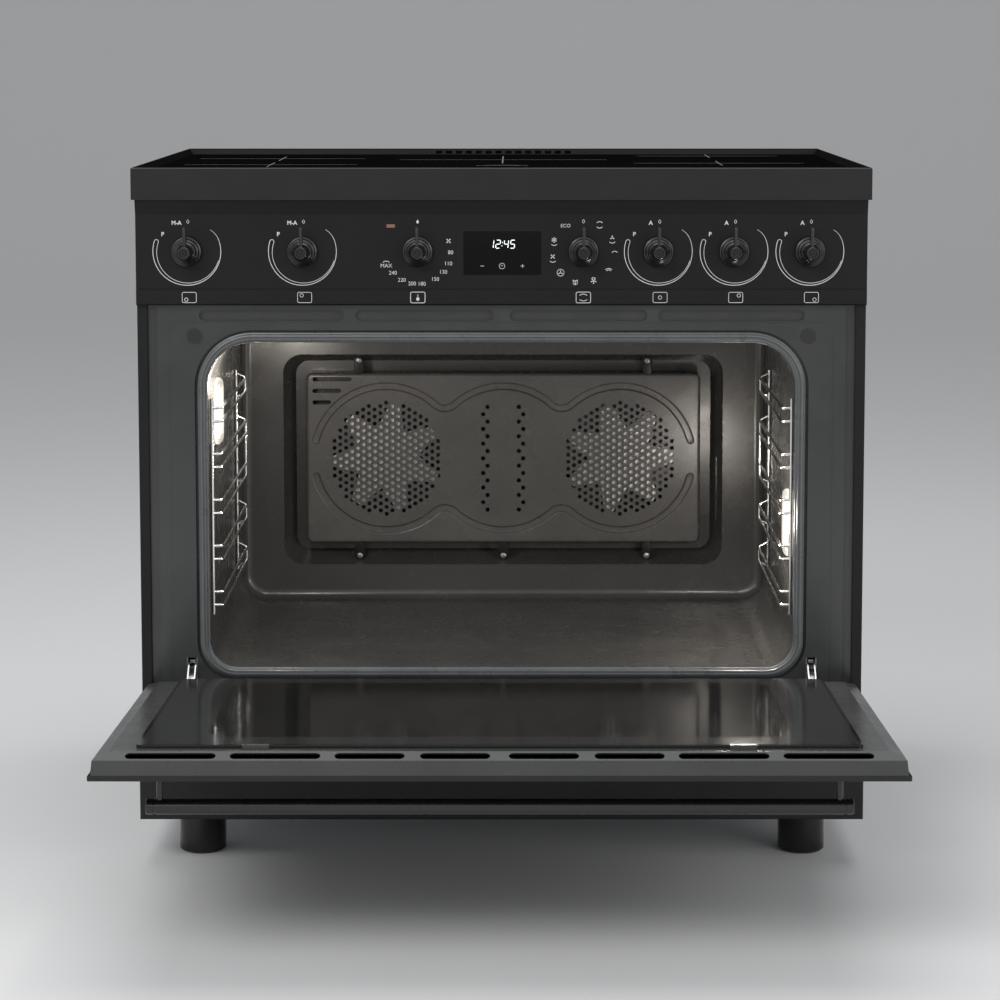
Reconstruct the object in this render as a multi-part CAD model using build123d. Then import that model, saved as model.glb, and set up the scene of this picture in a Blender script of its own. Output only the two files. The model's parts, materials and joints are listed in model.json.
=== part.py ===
from build123d import *
import math
import os

# Freestanding range cooker: an induction hob over a wide oven with a drop-down door and a storage drawer.
# Millimetres. X runs across the front, Y runs from the front to the back, Z is up from the floor.
# While modelling, Y is 0 at the front face of the hob. The finished pieces move so that the origin
# is on the floor at the middle of the footprint. The oven door is modelled open, resting on its stops.

# Overall sizes
cooker_height = 858.0
hob_width = 898.0
hob_depth = 615.0
side_overhang = 4.0
back_overhang = 10.0
sheet = 1.2
enamel_sheet = 1.5
seat_gap = 0.3
running_gap = 1.0
cut_past = 1.0

half_body = hob_width / 2 - side_overhang
panel_inside = half_body - sheet
body_back = hob_depth - back_overhang
back_inside = body_back - 2 * sheet

# Heights of the bands of the front, from the top down
fascia_height = 39.0
slope_height = 18.0
knob_panel_height = 91.0
band_height = 20.0
door_top_gap = 11.0
door_reach = 464.0
door_foot = 12.0
drawer_clearance = 2.2
drawer_drop = 5.0
foot_height = 62.0

hob_low = cooker_height - fascia_height
panel_high = hob_low - slope_height
band_high = panel_high - knob_panel_height
band_low = band_high - band_height
pivot_z = band_low - door_top_gap - door_reach

# Depths of the front faces
slope_front = 3.0
panel_front = 8.0
panel_return = 24.0
band_front = 7.0
band_bevel = 2.0
frame_front = 15.0
frame_step = 1.6
field_inset = 16.0
field_corner = 12.0
field_drop = 22.0
channel_width = 24.0
channel_depth = 7.5

# Hob
rim_width = 10.0
rim_front = 12.0
rim_back = 34.0
rim_slope = 5.0
rim_chamfer = 1.2
glass_drop = 7.0
glass_thick = 4.0
glass_gap = 0.5
glass_corner = 3.0
ledge_width = 8.0
hob_sheet = 1.5
vent_count = 14
vent_pitch = 14.0
vent_size = (9.0, 4.0)
zone_inset = 149.0
zone_front = 150.0
zone_back = 215.0
zone_sizes = {"small": 72.0, "medium": 90.0, "large": 105.0, "middle": 135.0}
coil_hole = 22.0
coil_height = 8.0
coil_gap = 1.0
carrier_thick = 2.0
carrier_margin = 6.0
tray_gap = 2.0
tray_depth = 24.0

# Power boards above the oven
board_place = 250.0
board_size = (240.0, 160.0)
board_front = 120.0
board_lift = 12.0
board_thick = 2.0
fin_count = 5
fin_size = (4.0, 60.0, 40.0)
fin_pitch = 40.0
can_size = (15.0, 36.0)

# Controls, with each knob placed from the nearer side of the panel
left_knobs = (62.4, 202.9, 343.1)
right_knobs = (345.3, 254.3, 162.2, 70.0)
knob_height = band_low + 66.0
knob_radius = 18.5
knob_skirt = 8.0
knob_neck = 7.5
knob_shoulder = 20.0
knob_depth = 34.0
knob_gap = 0.5
lever_reach = 31.0
lever_width = 4.0
lever_depth = 7.0
lever_set = 4.0
spindle_radius = 3.0
spindle_length = 15.0
pin_clearance = 0.05
switch_half = 14.0
switch_depth = 24.0
display_x = 1.0
display_z = band_high + 44.0
display_size = (94.0, 52.5)
display_proud = 0.4
display_lip = 4.0
display_lip_thick = 1.6
housing_border = 5.0
housing_depth = 10.0
lamp_from_knob = 32.7
lamp_z = band_high + 77.0
lamp_size = (10.0, 4.0)
lamp_lip = 2.0

knob_places = [inset - half_body for inset in left_knobs] + [half_body - inset for inset in right_knobs]

# Oven cavity
cavity_width = 720.0
cavity_depth = 440.0
cavity_rise = 24.0
cavity_head = 36.0
corner_high = 54.0
corner_low = 33.0
corner_back = 12.0
seam_reach = 4.0
gasket_inset = 0.5
gasket_width = 12.5
gasket_crown = 3.0
gasket_bevel = 2.5
flange_width = 16.0
flange_lap = 2.0
lip_depth = 8.0
recess_inset = 56.0
recess_low = 47.0
recess_head = 63.0
recess_depth = 50.0
recess_slope = 14.0
recess_corner = 26.0
insulation_thick = 20.0
insulation_gap = 0.5
insulation_front = 66.0
lower_space = 10.0

half_cavity = cavity_width / 2
cavity_height = door_reach - cavity_rise - cavity_head
cavity_low = pivot_z + cavity_rise
cavity_high = cavity_low + cavity_height
flange_y = frame_front + lip_depth
back_wall = frame_front + cavity_depth
liner_back = back_wall - corner_back - seam_reach
recess_back = back_wall + recess_depth
recess_height = cavity_height - recess_low - recess_head
recess_half = half_cavity - recess_inset
insulation_back = recess_back + enamel_sheet + seat_gap + insulation_thick
shield_low = cavity_low - enamel_sheet - lower_space - insulation_thick - seat_gap - sheet
shield_high = band_low - 2 * sheet

# Edges of the pressed rings in the oven floor: the outermost, and how far each lies inside it
floor_side_gap = 53.0
floor_ring_depth = 170.0
floor_ring_steps = ((0.0, 0.0), (36.0, 42.0), (71.0, 78.0), (110.0, 108.0))
floor_ring_y = frame_front + 192.0
floor_rings = [(half_cavity - floor_side_gap - x, floor_ring_depth - y) for x, y in floor_ring_steps]
floor_drop = 2.0
floor_rise = 1.5

# Slots pressed into the front frame above the door, each by its centre and length
frame_slots = ((-281.0, 177.0), (-94.0, 169.0), (94.0, 168.0), (281.0, 179.0))
frame_slot_drop = 13.0
frame_slot_height = 14.0
frame_slot_depth = 7.0
buffer_radius = 9.5
buffer_side = 15.0
buffer_rise = 8.6
buffer_height = 0.7

# Fan baffle and what stands behind it
baffle_side_gap = 30.0
baffle_edge_gap = 28.0
baffle_setback = 14.0
baffle_corner = 9.0
ear_length = 23.0
ear_width = 22.0
ear_screw = 5.0
screw_radius = 4.5
screw_head = 3.0
heater_edge_gap = 27.0
heater_tube = 3.5
heater_wall_gap = 16.0
heater_leg_half = 12.0
heater_back_gap = 18.0
grille_gap = 14.0
hole_pitch = 30.0
hole_radius = 11.0
groove_gap = 9.0
groove_width = 10.0
groove_depth = 2.5
groove_blend = 30.0
lobe_reach = 1.7
groove_open = 51.0
chain_place = 24.0
chain_count = 9
chain_pitch = 18.0
chain_offset = 3.0
chain_hole = 2.8
louvre_lengths = (52.0, 38.0, 24.0)
louvre_place = (12.0, 11.0)
louvre_pitch = 16.0
louvre_height = 5.0
impeller_clearance = 16.0
valley_share = 0.57
impeller_depth = 20.0
impeller_gap = 6.0
blade_count = 7
blade_turns = {-1: 9.0, 1: -14.0}
blade_sheet = 1.5
hub_radius = 13.0
shaft_radius = 4.0
motor_radius = 34.0
motor_depth = 40.0
motor_bracket = (70.0, 25.0, 2.0)

baffle_half = recess_half - baffle_side_gap
baffle_half_height = recess_height / 2 - baffle_edge_gap
baffle_front = back_wall + baffle_setback
heater_radius = baffle_half_height - heater_edge_gap
grille_radius = heater_radius - grille_gap
groove_radius = heater_radius + groove_gap
impeller_radius = heater_radius - impeller_clearance
fan_place = baffle_half - heater_radius - heater_tube - heater_wall_gap
fan_places = (-fan_place, fan_place)
fan_height = cavity_low + recess_low + recess_height / 2

# Oven lamps: depth and height of the left one and of the right one
lamp_points = ((frame_front + 95.0, cavity_high - 96.0), (frame_front + 60.0, cavity_low + 172.0))
lamp_cover = (56.0, 82.0, 7.0)
lamp_cover_corner = 20.0
lamp_cover_bevel = 2.5
lamp_window = (20.0, 30.0)
lamp_holder_wall = 4.0
lamp_holder_depth = 42.0
bulb_radius = 7.0
bulb_half = 22.0
bulb_place = 16.0
pin_base = 5.0

# Side racks
rack_wire = 1.9
rack_upright = 2.2
rack_offset = 12.0
rack_levels = 5
rack_low = 75.0
rack_headroom = 82.5
rail_spacing = 16.5
rack_front = 20.0
rack_back_gap = 116.0
rack_end = 8.0
rack_bend = 5.0
rack_wall = half_cavity - rack_upright - seat_gap
rack_inner = rack_wall - rack_offset
rack_pitch = (cavity_height - rack_low - rack_headroom - rail_spacing) / (rack_levels - 1)
rack_y = (frame_front + rack_front, back_wall - rack_back_gap)

# Heating elements above and below
element_tube = 3.5
grill_drop = 16.0
grill_front = 190.0
grill_back = 70.0
grill_side = 67.5
grill_runs = 8
lower_front = 110.0
lower_back = 20.0
lower_side = 98.0

# Door, with sizes measured from the hinge pin: outwards to the skin and inwards to the inner face
door_side_gap = 5.0
skin_reach = 14.5
skin_edge = 5.9
skin_round = 1.8
flat_reach = 15.0
pan_wall = 16.6
pan_bevel = 16.0
pan_inset = 3.0
pan_draft = 2.0
pan_margin = 1.0
foot_reach = 3.0
door_glass_thick = 4.0
door_glass_side = 48.0
door_glass_low = 22.0
door_glass_top = 31.0
door_glass_corner = 6.0
clip_proud = 0.5
clip_place = (248.0, 277.0)
clip_lap = 2.7
clip_height = 4.0
window_side = 72.0
window_low = 70.0
window_drop = 79.0
window_corner = 34.0
window_lap = 22.0
middle_glass_low = 46.0
middle_glass_front = 1.0
vent_slots = ((47.5, 75.0), (139.0, 75.0), (240.0, 97.0), (352.0, 97.0))
vent_slot_height = 11.0

door_half = half_body - door_side_gap
door_glass_half = door_half - door_glass_side
door_glass_high = door_reach - door_glass_top
window_half = door_glass_half - window_side
window_high = door_reach - window_drop
pivot_y = frame_front - running_gap - flat_reach - door_glass_thick

# Hinges
hinge_inset = 57.0
arm_width = 10.0
arm_half = 7.0
arm_sheet = 1.6
arm_slot_gap = 1.5
arm_head = 20.0
hook_depth = 15.0
hook_rise = 30.0
receiver_wall = 1.4
receiver_depth = 34.0
receiver_heights = (-7.0, 43.0)
pin_radius = 3.0
box_wall = 1.5
box_gap = 2.5
box_height = 140.0
box_foot = 8.6
spring_radius = 4.5
spring_low = 46.0
open_angle = 87.0

hinge_x = door_half - hinge_inset
box_half = arm_width / 2 + box_gap + box_wall
box_back = -skin_reach + 2.5
arm_slot_half = arm_width / 2 + arm_slot_gap

# Handle
handle_inset = 55.0
handle_radius = 8.5
handle_standoff = 40.0
handle_drop = 60.0
handle_chamfer = 1.0
post_inset = 15.0
post_radius = 3.5
post_flange = (6.0, 2.5)
post_screw = 2.5
groove_places = (8.0, 11.0)
groove_cut = 0.9

handle_half = door_half - handle_inset
handle_z = door_reach - handle_drop
post_x = handle_half - post_inset

# Drawer
drawer_front_face = -21.0
drawer_side_gap = 44.0
drawer_length = 400.0
drawer_lift = 4.0
drawer_head = 16.0
drawer_back_lap = 2.0
drawer_open_side = 60.0
drawer_open_edge = 30.0
rail_rise = 51.0
rail_size = (4.0, 8.0)
runner_sheet = 1.5
runner_foot = 19.0
runner_gap = 0.3

swing_radius = math.hypot(skin_reach, door_foot)
drawer_top = pivot_z - swing_radius - drawer_clearance
drawer_low = foot_height - drawer_drop
drawer_half = half_body - drawer_side_gap
box_low = foot_height + drawer_lift
box_high = drawer_top - drawer_head
frame_low = drawer_top + 3.0

# Feet and base
foot_radius = 29.0
foot_inset = 69.0
foot_front = 53.0
foot_back_inset = 60.0
foot_chamfer = 2.5
base_depth = 22.0
base_setback = 3.0

# Rear panel and supply connection
louvre_columns = (-165.0, -55.0, 55.0, 165.0)
louvre_rows = 4
rear_louvre = (90.0, 5.0)
rear_pitch = 16.0
rear_head = 8.0
gland_place = (-330.0, foot_height + 68.0)
gland_bore = 7.0
gland_radius = 10.0
gland_flange = 11.5
gland_nuts = (14.0, 13.0)
terminal_size = (110.0, 80.0, 50.0)
terminal_wall = 2.0


def block(x, y, z):
    """A block between a low and a high value on each axis."""
    size = Box(x[1] - x[0], y[1] - y[0], z[1] - z[0])
    return Pos((x[0] + x[1]) / 2, (y[0] + y[1]) / 2, (z[0] + z[1]) / 2) * size


def wide_block(half, y, z):
    """A block that is centred across the width."""
    return block((-half, half), y, z)


def facing(y):
    """The upright plane that faces the front at depth y: its own axes are X and Z."""
    return Plane(origin=(0, y, 0), x_dir=(1, 0, 0), z_dir=(0, -1, 0))


def level(z):
    """The flat plane at height z."""
    return Plane(origin=(0, 0, z))


def plate(outline, front, thick):
    """An outline in X and Z, thickened backwards from its front face."""
    return extrude(facing(front) * outline, amount=-thick)


def profile(points, low_x, high_x):
    """An outline in Y and Z, carried along X."""
    side = Plane(origin=(low_x, 0, 0), x_dir=(0, 1, 0), z_dir=(1, 0, 0))
    return extrude(side * make_face(Polyline(*points, close=True)), amount=high_x - low_x)


def window(half, low, high, low_corner=0.0, high_corner=0.0):
    """A rectangle with one radius on its lower corners and another on its upper ones."""
    outline = Pos(0, (low + high) / 2) * Rectangle(2 * half, high - low)
    if low_corner:
        outline = fillet(outline.vertices().sort_by(Axis.Y)[:2], low_corner)
    if high_corner:
        outline = fillet(outline.vertices().sort_by(Axis.Y)[-2:], high_corner)
    return outline


def cavity_outline(grow):
    """The outline of the oven mouth, made larger all round."""
    return window(half_cavity + grow, cavity_low - grow, cavity_high + grow,
                  corner_low + grow, corner_high + grow)


def rod(radius, start, end):
    """A round bar between two points."""
    way = Vector(*end) - Vector(*start)
    return extrude(Plane(origin=start, z_dir=way) * Circle(radius), amount=way.length)


def across(radius, x, y, z):
    """A round bar along X."""
    return rod(radius, (x[0], y, z), (x[1], y, z))


def through(radius, x, z, y):
    """A round bar along Y."""
    return rod(radius, (x, y[0], z), (x, y[1], z))


def upright(radius, x, y, z):
    """A round bar along Z."""
    return rod(radius, (x, y, z[0]), (x, y, z[1]))


def prism(radius, start, end, sides=8):
    """A bar with flat sides between two points, for what is hidden or thin."""
    way = Vector(*end) - Vector(*start)
    return extrude(Plane(origin=start, z_dir=way) * RegularPolygon(radius, sides), amount=way.length)


def wire(radius, points):
    """A bent wire with mitred corners, drawn with six sides."""
    way = Vector(*points[1]) - Vector(*points[0])
    section = Plane(origin=points[0], z_dir=way) * RegularPolygon(radius, 6)
    return sweep(section, path=Polyline(*points), transition=Transition.RIGHT)


def mirrored(solid):
    """The same piece on the other side of the cooker."""
    return mirror(solid, about=Plane.YZ)


def pair(solid):
    return [solid, mirrored(solid)]


# Hob

def hob_mouth(z, widen, grow):
    """The edge of the pocket for the glass at one height, as a flat face."""
    half = hob_width / 2 - rim_width + widen + grow
    front = rim_front - widen - grow
    back = hob_depth - rim_back + min(widen, 0) + grow
    return Pos(0, (front + back) / 2, z) * Rectangle(2 * half, back - front)


def hob_pocket(low, grow):
    """The pocket for the glass: upright at the back, and sloped above the glass on the other sides."""
    glass_top = cooker_height - glass_drop
    pocket = extrude(hob_mouth(low, 0, grow), amount=glass_top - low)
    return pocket + loft([hob_mouth(glass_top, 0, grow), hob_mouth(cooker_height, rim_slope, grow)])


def hob_frame():
    """The enamelled frame, open below, with a ledge that carries the glass and a row of vents behind it."""
    t = hob_sheet
    half = hob_width / 2
    outer = wide_block(half, (0, hob_depth), (hob_low, cooker_height))
    outer = chamfer(outer.edges().group_by(Axis.Z)[-1], rim_chamfer)
    glass_low = cooker_height - glass_drop - glass_thick
    hollow = wide_block(half - t, (t, hob_depth - t), (hob_low + sheet, cooker_height - t))
    wall = t * math.hypot(glass_drop, rim_slope) / glass_drop
    frame = outer - (hollow - hob_pocket(glass_low - t, wall))
    frame -= hob_pocket(glass_low, 0)
    frame -= extrude(hob_mouth(glass_low - t, -ledge_width, 0), amount=t)
    body_top = (hob_low, hob_low + sheet)
    frame -= wide_block(half_body + seat_gap, (rim_front, body_back + seat_gap), body_top)
    slot_z = cooker_height - glass_drop + vent_size[1] / 2 + 1
    back_wall_front = hob_depth - rim_back - cut_past
    for i in range(vent_count):
        place = (i - (vent_count - 1) / 2) * vent_pitch
        frame -= plate(Pos(place, slot_z) * Rectangle(*vent_size), back_wall_front, t + 2 * cut_past)
    return frame


def hob_glass():
    half = hob_width / 2 - rim_width - glass_gap
    low = cooker_height - glass_drop - glass_thick
    depth = (rim_front + glass_gap, hob_depth - rim_back - glass_gap)
    pane = wide_block(half, depth, (low, low + glass_thick))
    return fillet(pane.edges().filter_by(Axis.Z), glass_corner)


def zones():
    """Centre and radius of each cooking zone."""
    side = hob_width / 2 - zone_inset
    front = zone_front
    back = hob_depth - zone_back
    middle = (front + back) / 2 + 10
    return [(-side, front, zone_sizes["small"]), (-side, back, zone_sizes["medium"]),
            (0, middle, zone_sizes["middle"]),
            (side, front + 10, zone_sizes["small"]), (side, back, zone_sizes["large"])]


def tray_levels():
    top = cooker_height - glass_drop - glass_thick - hob_sheet
    return top - tray_depth, top


def coil_tray():
    low, top = tray_levels()
    half = hob_width / 2 - rim_width - tray_gap
    depth = (rim_front + tray_gap, hob_depth - rim_back - tray_gap)
    tray = wide_block(half, depth, (low, top))
    inside = (depth[0] + sheet, depth[1] - sheet)
    return tray - wide_block(half - sheet, inside, (low + sheet, top))


def coil_carriers():
    """A flat carrier under each coil, on three square legs."""
    low, top = tray_levels()
    seat = top - coil_height - coil_gap
    carriers = []
    for x, y, radius in zones():
        disc = prism(radius + carrier_margin, (x, y, seat - carrier_thick), (x, y, seat), 20)
        for turn in (45, 165, 285):
            leg_x = x + radius * 0.8 * math.cos(math.radians(turn))
            leg_y = y + radius * 0.8 * math.sin(math.radians(turn))
            disc += block((leg_x - 3, leg_x + 3), (leg_y - 3, leg_y + 3), (low + sheet, seat - carrier_thick))
        carriers.append(disc)
    return carriers


def induction_coils():
    low = tray_levels()[1] - coil_height - coil_gap
    coils = []
    for x, y, radius in zones():
        ends = (x, y, low), (x, y, low + coil_height)
        coils.append(prism(radius, *ends, 20) - prism(coil_hole, *ends, 10))
    return coils


def power_board(x):
    """A board on standoffs, with a finned heatsink and two capacitors."""
    floor = shield_high + sheet
    top = floor + board_lift + board_thick
    half = board_size[0] / 2
    back = board_front + board_size[1]
    card = block((x - half, x + half), (board_front, back), (top - board_thick, top))
    for dx in (10 - half, half - 10):
        for y in (board_front + 10, back - 10):
            card += block((x + dx - 3, x + dx + 3), (y - 3, y + 3), (floor, top - board_thick))
    for i in range(fin_count):
        fin = x + (i - (fin_count - 1) / 2) * fin_pitch
        card += block((fin - fin_size[0] / 2, fin + fin_size[0] / 2),
                      (board_front + 20, board_front + 20 + fin_size[1]), (top, top + fin_size[2]))
    for side in (-1, 1):
        can = (x + 50 * side, back - 35)
        card += prism(can_size[0], (*can, top), (*can, top + can_size[1]), 10)
    return card


# Control panel

def switch_window(grow):
    """The outline of the display, made larger all round."""
    return Pos(display_x, display_z) * Rectangle(display_size[0] + 2 * grow, display_size[1] + 2 * grow)


def lamp_window_outline(grow):
    place = knob_places[2] - lamp_from_knob
    return Pos(place, lamp_z) * Rectangle(lamp_size[0] + 2 * grow, lamp_size[1] + 2 * grow)


def control_panel():
    """The panel with its sloped top strip, returns above and below, and cheeks at both ends."""
    t = sheet
    deep = panel_return + 6
    face = [(slope_front, hob_low), (panel_front, panel_high), (panel_front, band_high),
            (panel_return, band_high), (panel_return, band_high + t), (panel_front + t, band_high + t),
            (panel_front + t, panel_high), (slope_front + t, hob_low - t),
            (deep, hob_low - t), (deep, hob_low)]
    panel = profile(face, -half_body, half_body)
    cheek = [(slope_front, hob_low), (panel_front, panel_high), (panel_front, band_high),
             (deep, band_high), (deep, hob_low)]
    panel += profile(cheek, -half_body, -panel_inside)
    panel += profile(cheek, panel_inside, half_body)
    before = panel_front - cut_past
    for x in knob_places:
        ends = (x, before, knob_height), (x, panel_front + t + cut_past, knob_height)
        panel -= prism(spindle_radius + 2.5, *ends)
    panel -= plate(switch_window(seat_gap), before, t + 2 * cut_past)
    return panel - plate(lamp_window_outline(seat_gap), before, t + 2 * cut_past)


def lower_trim():
    """The narrow folded strip under the panel, over the door."""
    t = sheet
    bevel = band_bevel
    inner_bevel = bevel + 0.5
    high = band_high - seat_gap
    deep = panel_return + 6
    face = [(band_front, high), (band_front, band_low + bevel), (band_front + bevel, band_low),
            (deep, band_low), (deep, band_low + t), (band_front + inner_bevel, band_low + t),
            (band_front + t, band_low + inner_bevel), (band_front + t, high - t),
            (panel_return - 2, high - t), (panel_return - 2, high)]
    return profile(face, -half_body, half_body)


def display_glass():
    lens = plate(switch_window(0), panel_front - display_proud, sheet + display_proud)
    return lens + plate(switch_window(display_lip), panel_front + sheet, display_lip_thick)


def display_board():
    front = panel_front + sheet + display_lip_thick
    card = plate(switch_window(display_lip + housing_border), front, housing_depth)
    return card - plate(switch_window(display_lip + 2), front + 2, housing_depth)


def knob_switches():
    switches = []
    back = panel_front + sheet
    for x in knob_places:
        body = block((x - switch_half, x + switch_half), (back, back + switch_depth),
                     (knob_height - switch_half, knob_height + switch_half))
        bore = through(spindle_radius + pin_clearance, x, knob_height, (back, back + spindle_length + 1))
        switches.append(body - bore)
    return switches


def indicator_lamp():
    lens = plate(lamp_window_outline(0), panel_front - 0.5, sheet + 0.5)
    return lens + plate(lamp_window_outline(lamp_lip), panel_front + sheet, 8)


def knob(x):
    """A stepped round knob with a pointer lever that stands up at rest, and the spindle it turns."""
    base = panel_front - knob_gap
    steps = [(0, 0), (knob_radius, 0), (knob_radius, knob_skirt), (knob_neck, knob_shoulder),
             (knob_neck, knob_depth), (0, knob_depth)]
    side = Plane(origin=(x, base, knob_height), x_dir=(1, 0, 0), z_dir=(0, 0, 1))
    outline = make_face(Polyline(*[(r, -d) for r, d in steps], close=True))
    cap = revolve(side * outline, axis=Axis((x, base, knob_height), (0, 1, 0)))
    half = lever_width / 2
    blade = window(half, 0, lever_reach - half) + Pos(0, lever_reach - half) * Circle(half)
    cap += plate(Pos(x, knob_height) * blade, base - knob_depth + lever_set, lever_depth)
    web = Pos(x, knob_height) * window(half, 0, knob_radius - 1)
    web_front = base - knob_depth + lever_set + lever_depth - 1
    cap += plate(web, web_front, base - knob_skirt - web_front)
    spindle = through(spindle_radius, x, knob_height, (base, panel_front + sheet + spindle_length))
    return [cap, spindle]


# Cabinet

def side_panel():
    """The right-hand panel, with flanges turned in at the front and the back."""
    across_sheet = (panel_inside, half_body)
    skin = block(across_sheet, (frame_front, body_back), (foot_height, band_low))
    skin += block(across_sheet, (panel_return + 6, body_back), (band_low, hob_low + 6))
    front_flange = (half_body - 12, half_body)
    skin += block(front_flange, (frame_front, frame_front + sheet), (foot_height, band_low))
    back_flange = (half_body - 14, half_body)
    return skin + block(back_flange, (body_back - sheet, body_back), (foot_height, hob_low - rear_head))


def rear_panel():
    """The back, with rows of air slots behind the electronics and a hole for the cable gland."""
    front = back_inside
    panel = wide_block(panel_inside - seat_gap, (front, front + sheet), (foot_height, hob_low - rear_head))
    slots = [Pos(x, hob_low - 40 - rear_pitch * row) * Rectangle(*rear_louvre)
             for row in range(louvre_rows) for x in louvre_columns]
    panel -= plate(Sketch() + slots, front - cut_past, sheet + 2 * cut_past)
    past = (front - cut_past, front + sheet + cut_past)
    return panel - through(gland_radius + seat_gap, *gland_place, past)


def base_pan():
    half = panel_inside - seat_gap
    depth = (frame_front + base_setback, back_inside - seat_gap)
    pan = wide_block(half, depth, (foot_height, foot_height + base_depth))
    inside = (depth[0] - cut_past, depth[1] - sheet)
    return pan - wide_block(half - sheet, inside, (foot_height + sheet, foot_height + base_depth + cut_past))


def heat_shields():
    """Flat sheets that close off the oven from the drawer below and the electronics above."""
    depth = (frame_front + 9, back_inside - seat_gap)
    half = panel_inside - seat_gap
    return [wide_block(half, depth, (low, low + sheet)) for low in (shield_low, shield_high)]


def feet():
    legs = []
    for x in (foot_inset - half_body, half_body - foot_inset):
        for y in (foot_front, body_back - foot_back_inset):
            leg = upright(foot_radius, x, y, (0, foot_height))
            legs.append(chamfer(leg.edges().sort_by(Axis.Z)[0], foot_chamfer))
    return legs


def frame_field(shrink):
    """The raised field round the oven mouth."""
    return window(half_body - channel_width - field_inset - shrink, frame_low, band_low - field_drop - shrink,
                  0, field_corner - shrink)


def slot_sketch(grow):
    """The four stadium-shaped pressings above the door."""
    centre = band_low - frame_slot_drop
    return Sketch() + [Pos(x, centre) * SlotOverall(length + 2 * grow, frame_slot_height + 2 * grow)
                       for x, length in frame_slots]


def front_frame():
    """The enamelled front with the oven mouth, stepped back at both sides behind the side panels."""
    t = sheet
    face = half_body - channel_width
    face_y = frame_front + frame_step
    step = frame_front + channel_depth
    frame = plate(window(face, frame_low, band_low), face_y, t)
    frame += plate(slot_sketch(t), face_y, frame_slot_depth)
    frame += plate(frame_field(0), frame_front, frame_step + t)
    frame += plate(cavity_outline(flange_width + t), frame_front, lip_depth)
    frame += wide_block(face, (face_y, 32), (frame_low, frame_low + t))
    frame += wide_block(panel_inside - seat_gap, (step - t, panel_return + 6), (band_low - t, band_low))
    channel = block((face - t, face), (face_y, step), (frame_low, band_low))
    channel += block((face - t, panel_inside - seat_gap), (step - t, step), (frame_low, band_low))
    frame += channel + mirrored(channel)
    frame -= plate(cavity_outline(flange_width), frame_front - cut_past, lip_depth + 2 * cut_past)
    frame -= plate(slot_sketch(0), face_y - cut_past, frame_slot_depth - t + cut_past)
    hole = block((hinge_x - arm_slot_half, hinge_x + arm_slot_half),
                 (frame_front - cut_past, face_y + t + cut_past),
                 (pivot_z - 5, pivot_z + hook_rise + arm_half))
    return frame - hole - mirrored(hole)


def door_gasket():
    """A ring seated on the flange of the liner, with a narrower crown that the door meets."""
    outer = gasket_inset + gasket_width
    front = frame_front - running_gap + clip_proud + seat_gap
    base = front + gasket_crown
    ring = plate(cavity_outline(outer), base, flange_y - base)
    ring -= plate(cavity_outline(gasket_inset), base, flange_y - base)
    crown = plate(cavity_outline(outer - gasket_bevel), front, gasket_crown)
    return ring + (crown - plate(cavity_outline(gasket_inset + gasket_bevel), front, gasket_crown))


def door_buffers():
    place = (half_cavity + buffer_side, cavity_high + buffer_rise)
    return pair(through(buffer_radius, *place, (frame_front - buffer_height, frame_front)))


# Oven cavity

def recess_outline(shrink):
    """The outline of the recess in the back wall."""
    place = Pos(0, fan_height)
    return place * RectangleRounded(2 * (recess_half - shrink), recess_height - 2 * shrink,
                                    recess_corner - shrink / 2)


def recess_form(grow):
    """The inside of the recess, made larger all round, with walls that slope inwards to its back."""
    mouth = facing(back_wall) * recess_outline(-grow)
    return loft([mouth, facing(recess_back + grow) * recess_outline(recess_slope - grow)])


def cavity_form(grow, back):
    """The inside of the oven, made larger all round, with its back edges rounded."""
    form = plate(cavity_outline(grow), flange_y, back - flange_y)
    return fillet(form.edges().group_by(Axis.Y)[-1], corner_back + grow)


def floor_press(i, drop, grow):
    """The edge of one of the pressed rings in the oven floor, as a flat face."""
    half, depth = floor_rings[i]
    return level(cavity_low - drop) * Pos(0, floor_ring_y) * Ellipse(half + grow, depth + grow)


def lamp_openings(half_width, half_height, x):
    """Upright openings in both side walls, at the lamps."""
    cuts = []
    for side, (y, z) in zip((-1, 1), lamp_points):
        wall = sorted((side * x[0], side * x[1]))
        cuts.append(block(wall, (y - half_width, y + half_width), (z - half_height, z + half_height)))
    return cuts


def cavity_liner():
    """Sides, roof and floor of the oven, with the flange round the mouth and a pressed floor."""
    t = enamel_sheet
    depth = liner_back - flange_y
    liner = plate(cavity_outline(t), flange_y, depth)
    liner += plate(cavity_outline(flange_width + flange_lap), flange_y, t)
    liner += loft([floor_press(0, t, t), floor_press(1, t + floor_drop, t)])
    liner -= plate(cavity_outline(0), flange_y - cut_past, depth + 2 * cut_past)
    liner -= loft([floor_press(0, 0, 0), floor_press(1, floor_drop, 0)])
    liner += loft([floor_press(2, floor_drop, 0), floor_press(3, floor_drop - floor_rise, 0)])
    wall = (half_cavity - cut_past, half_cavity + t + cut_past)
    for cut in lamp_openings(*lamp_window, wall):
        liner -= cut
    return liner


def cavity_back():
    """The back wall with its rounded edges and the recess, seated on the rear edge of the liner."""
    t = enamel_sheet
    back = cavity_form(t, back_wall + t) + recess_form(t)
    back -= cavity_form(0, back_wall)
    back -= recess_form(0)
    height = (cavity_low - flange_width, cavity_high + flange_width)
    back -= wide_block(half_cavity + flange_width, (flange_y - cut_past, liner_back), height)
    for hole in back_holes(0.9, recess_back + t + cut_past):
        back -= hole
    slot = block((recess_half - recess_slope - 4, recess_half + 4), (back_wall + 21, back_wall + 26),
                 (fan_height - 88, fan_height))
    return back - slot


def back_holes(gap, back):
    """What the shafts and the heater legs need free behind the recess, with a gap round them."""
    front = recess_back - cut_past
    holes = []
    for x in fan_places:
        holes.append(prism(shaft_radius + gap, (x, front, fan_height), (x, back, fan_height)))
        for leg, z in heater_legs(x):
            holes.append(prism(heater_tube + gap, (leg, front, z), (leg, back, z)))
    return holes


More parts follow.
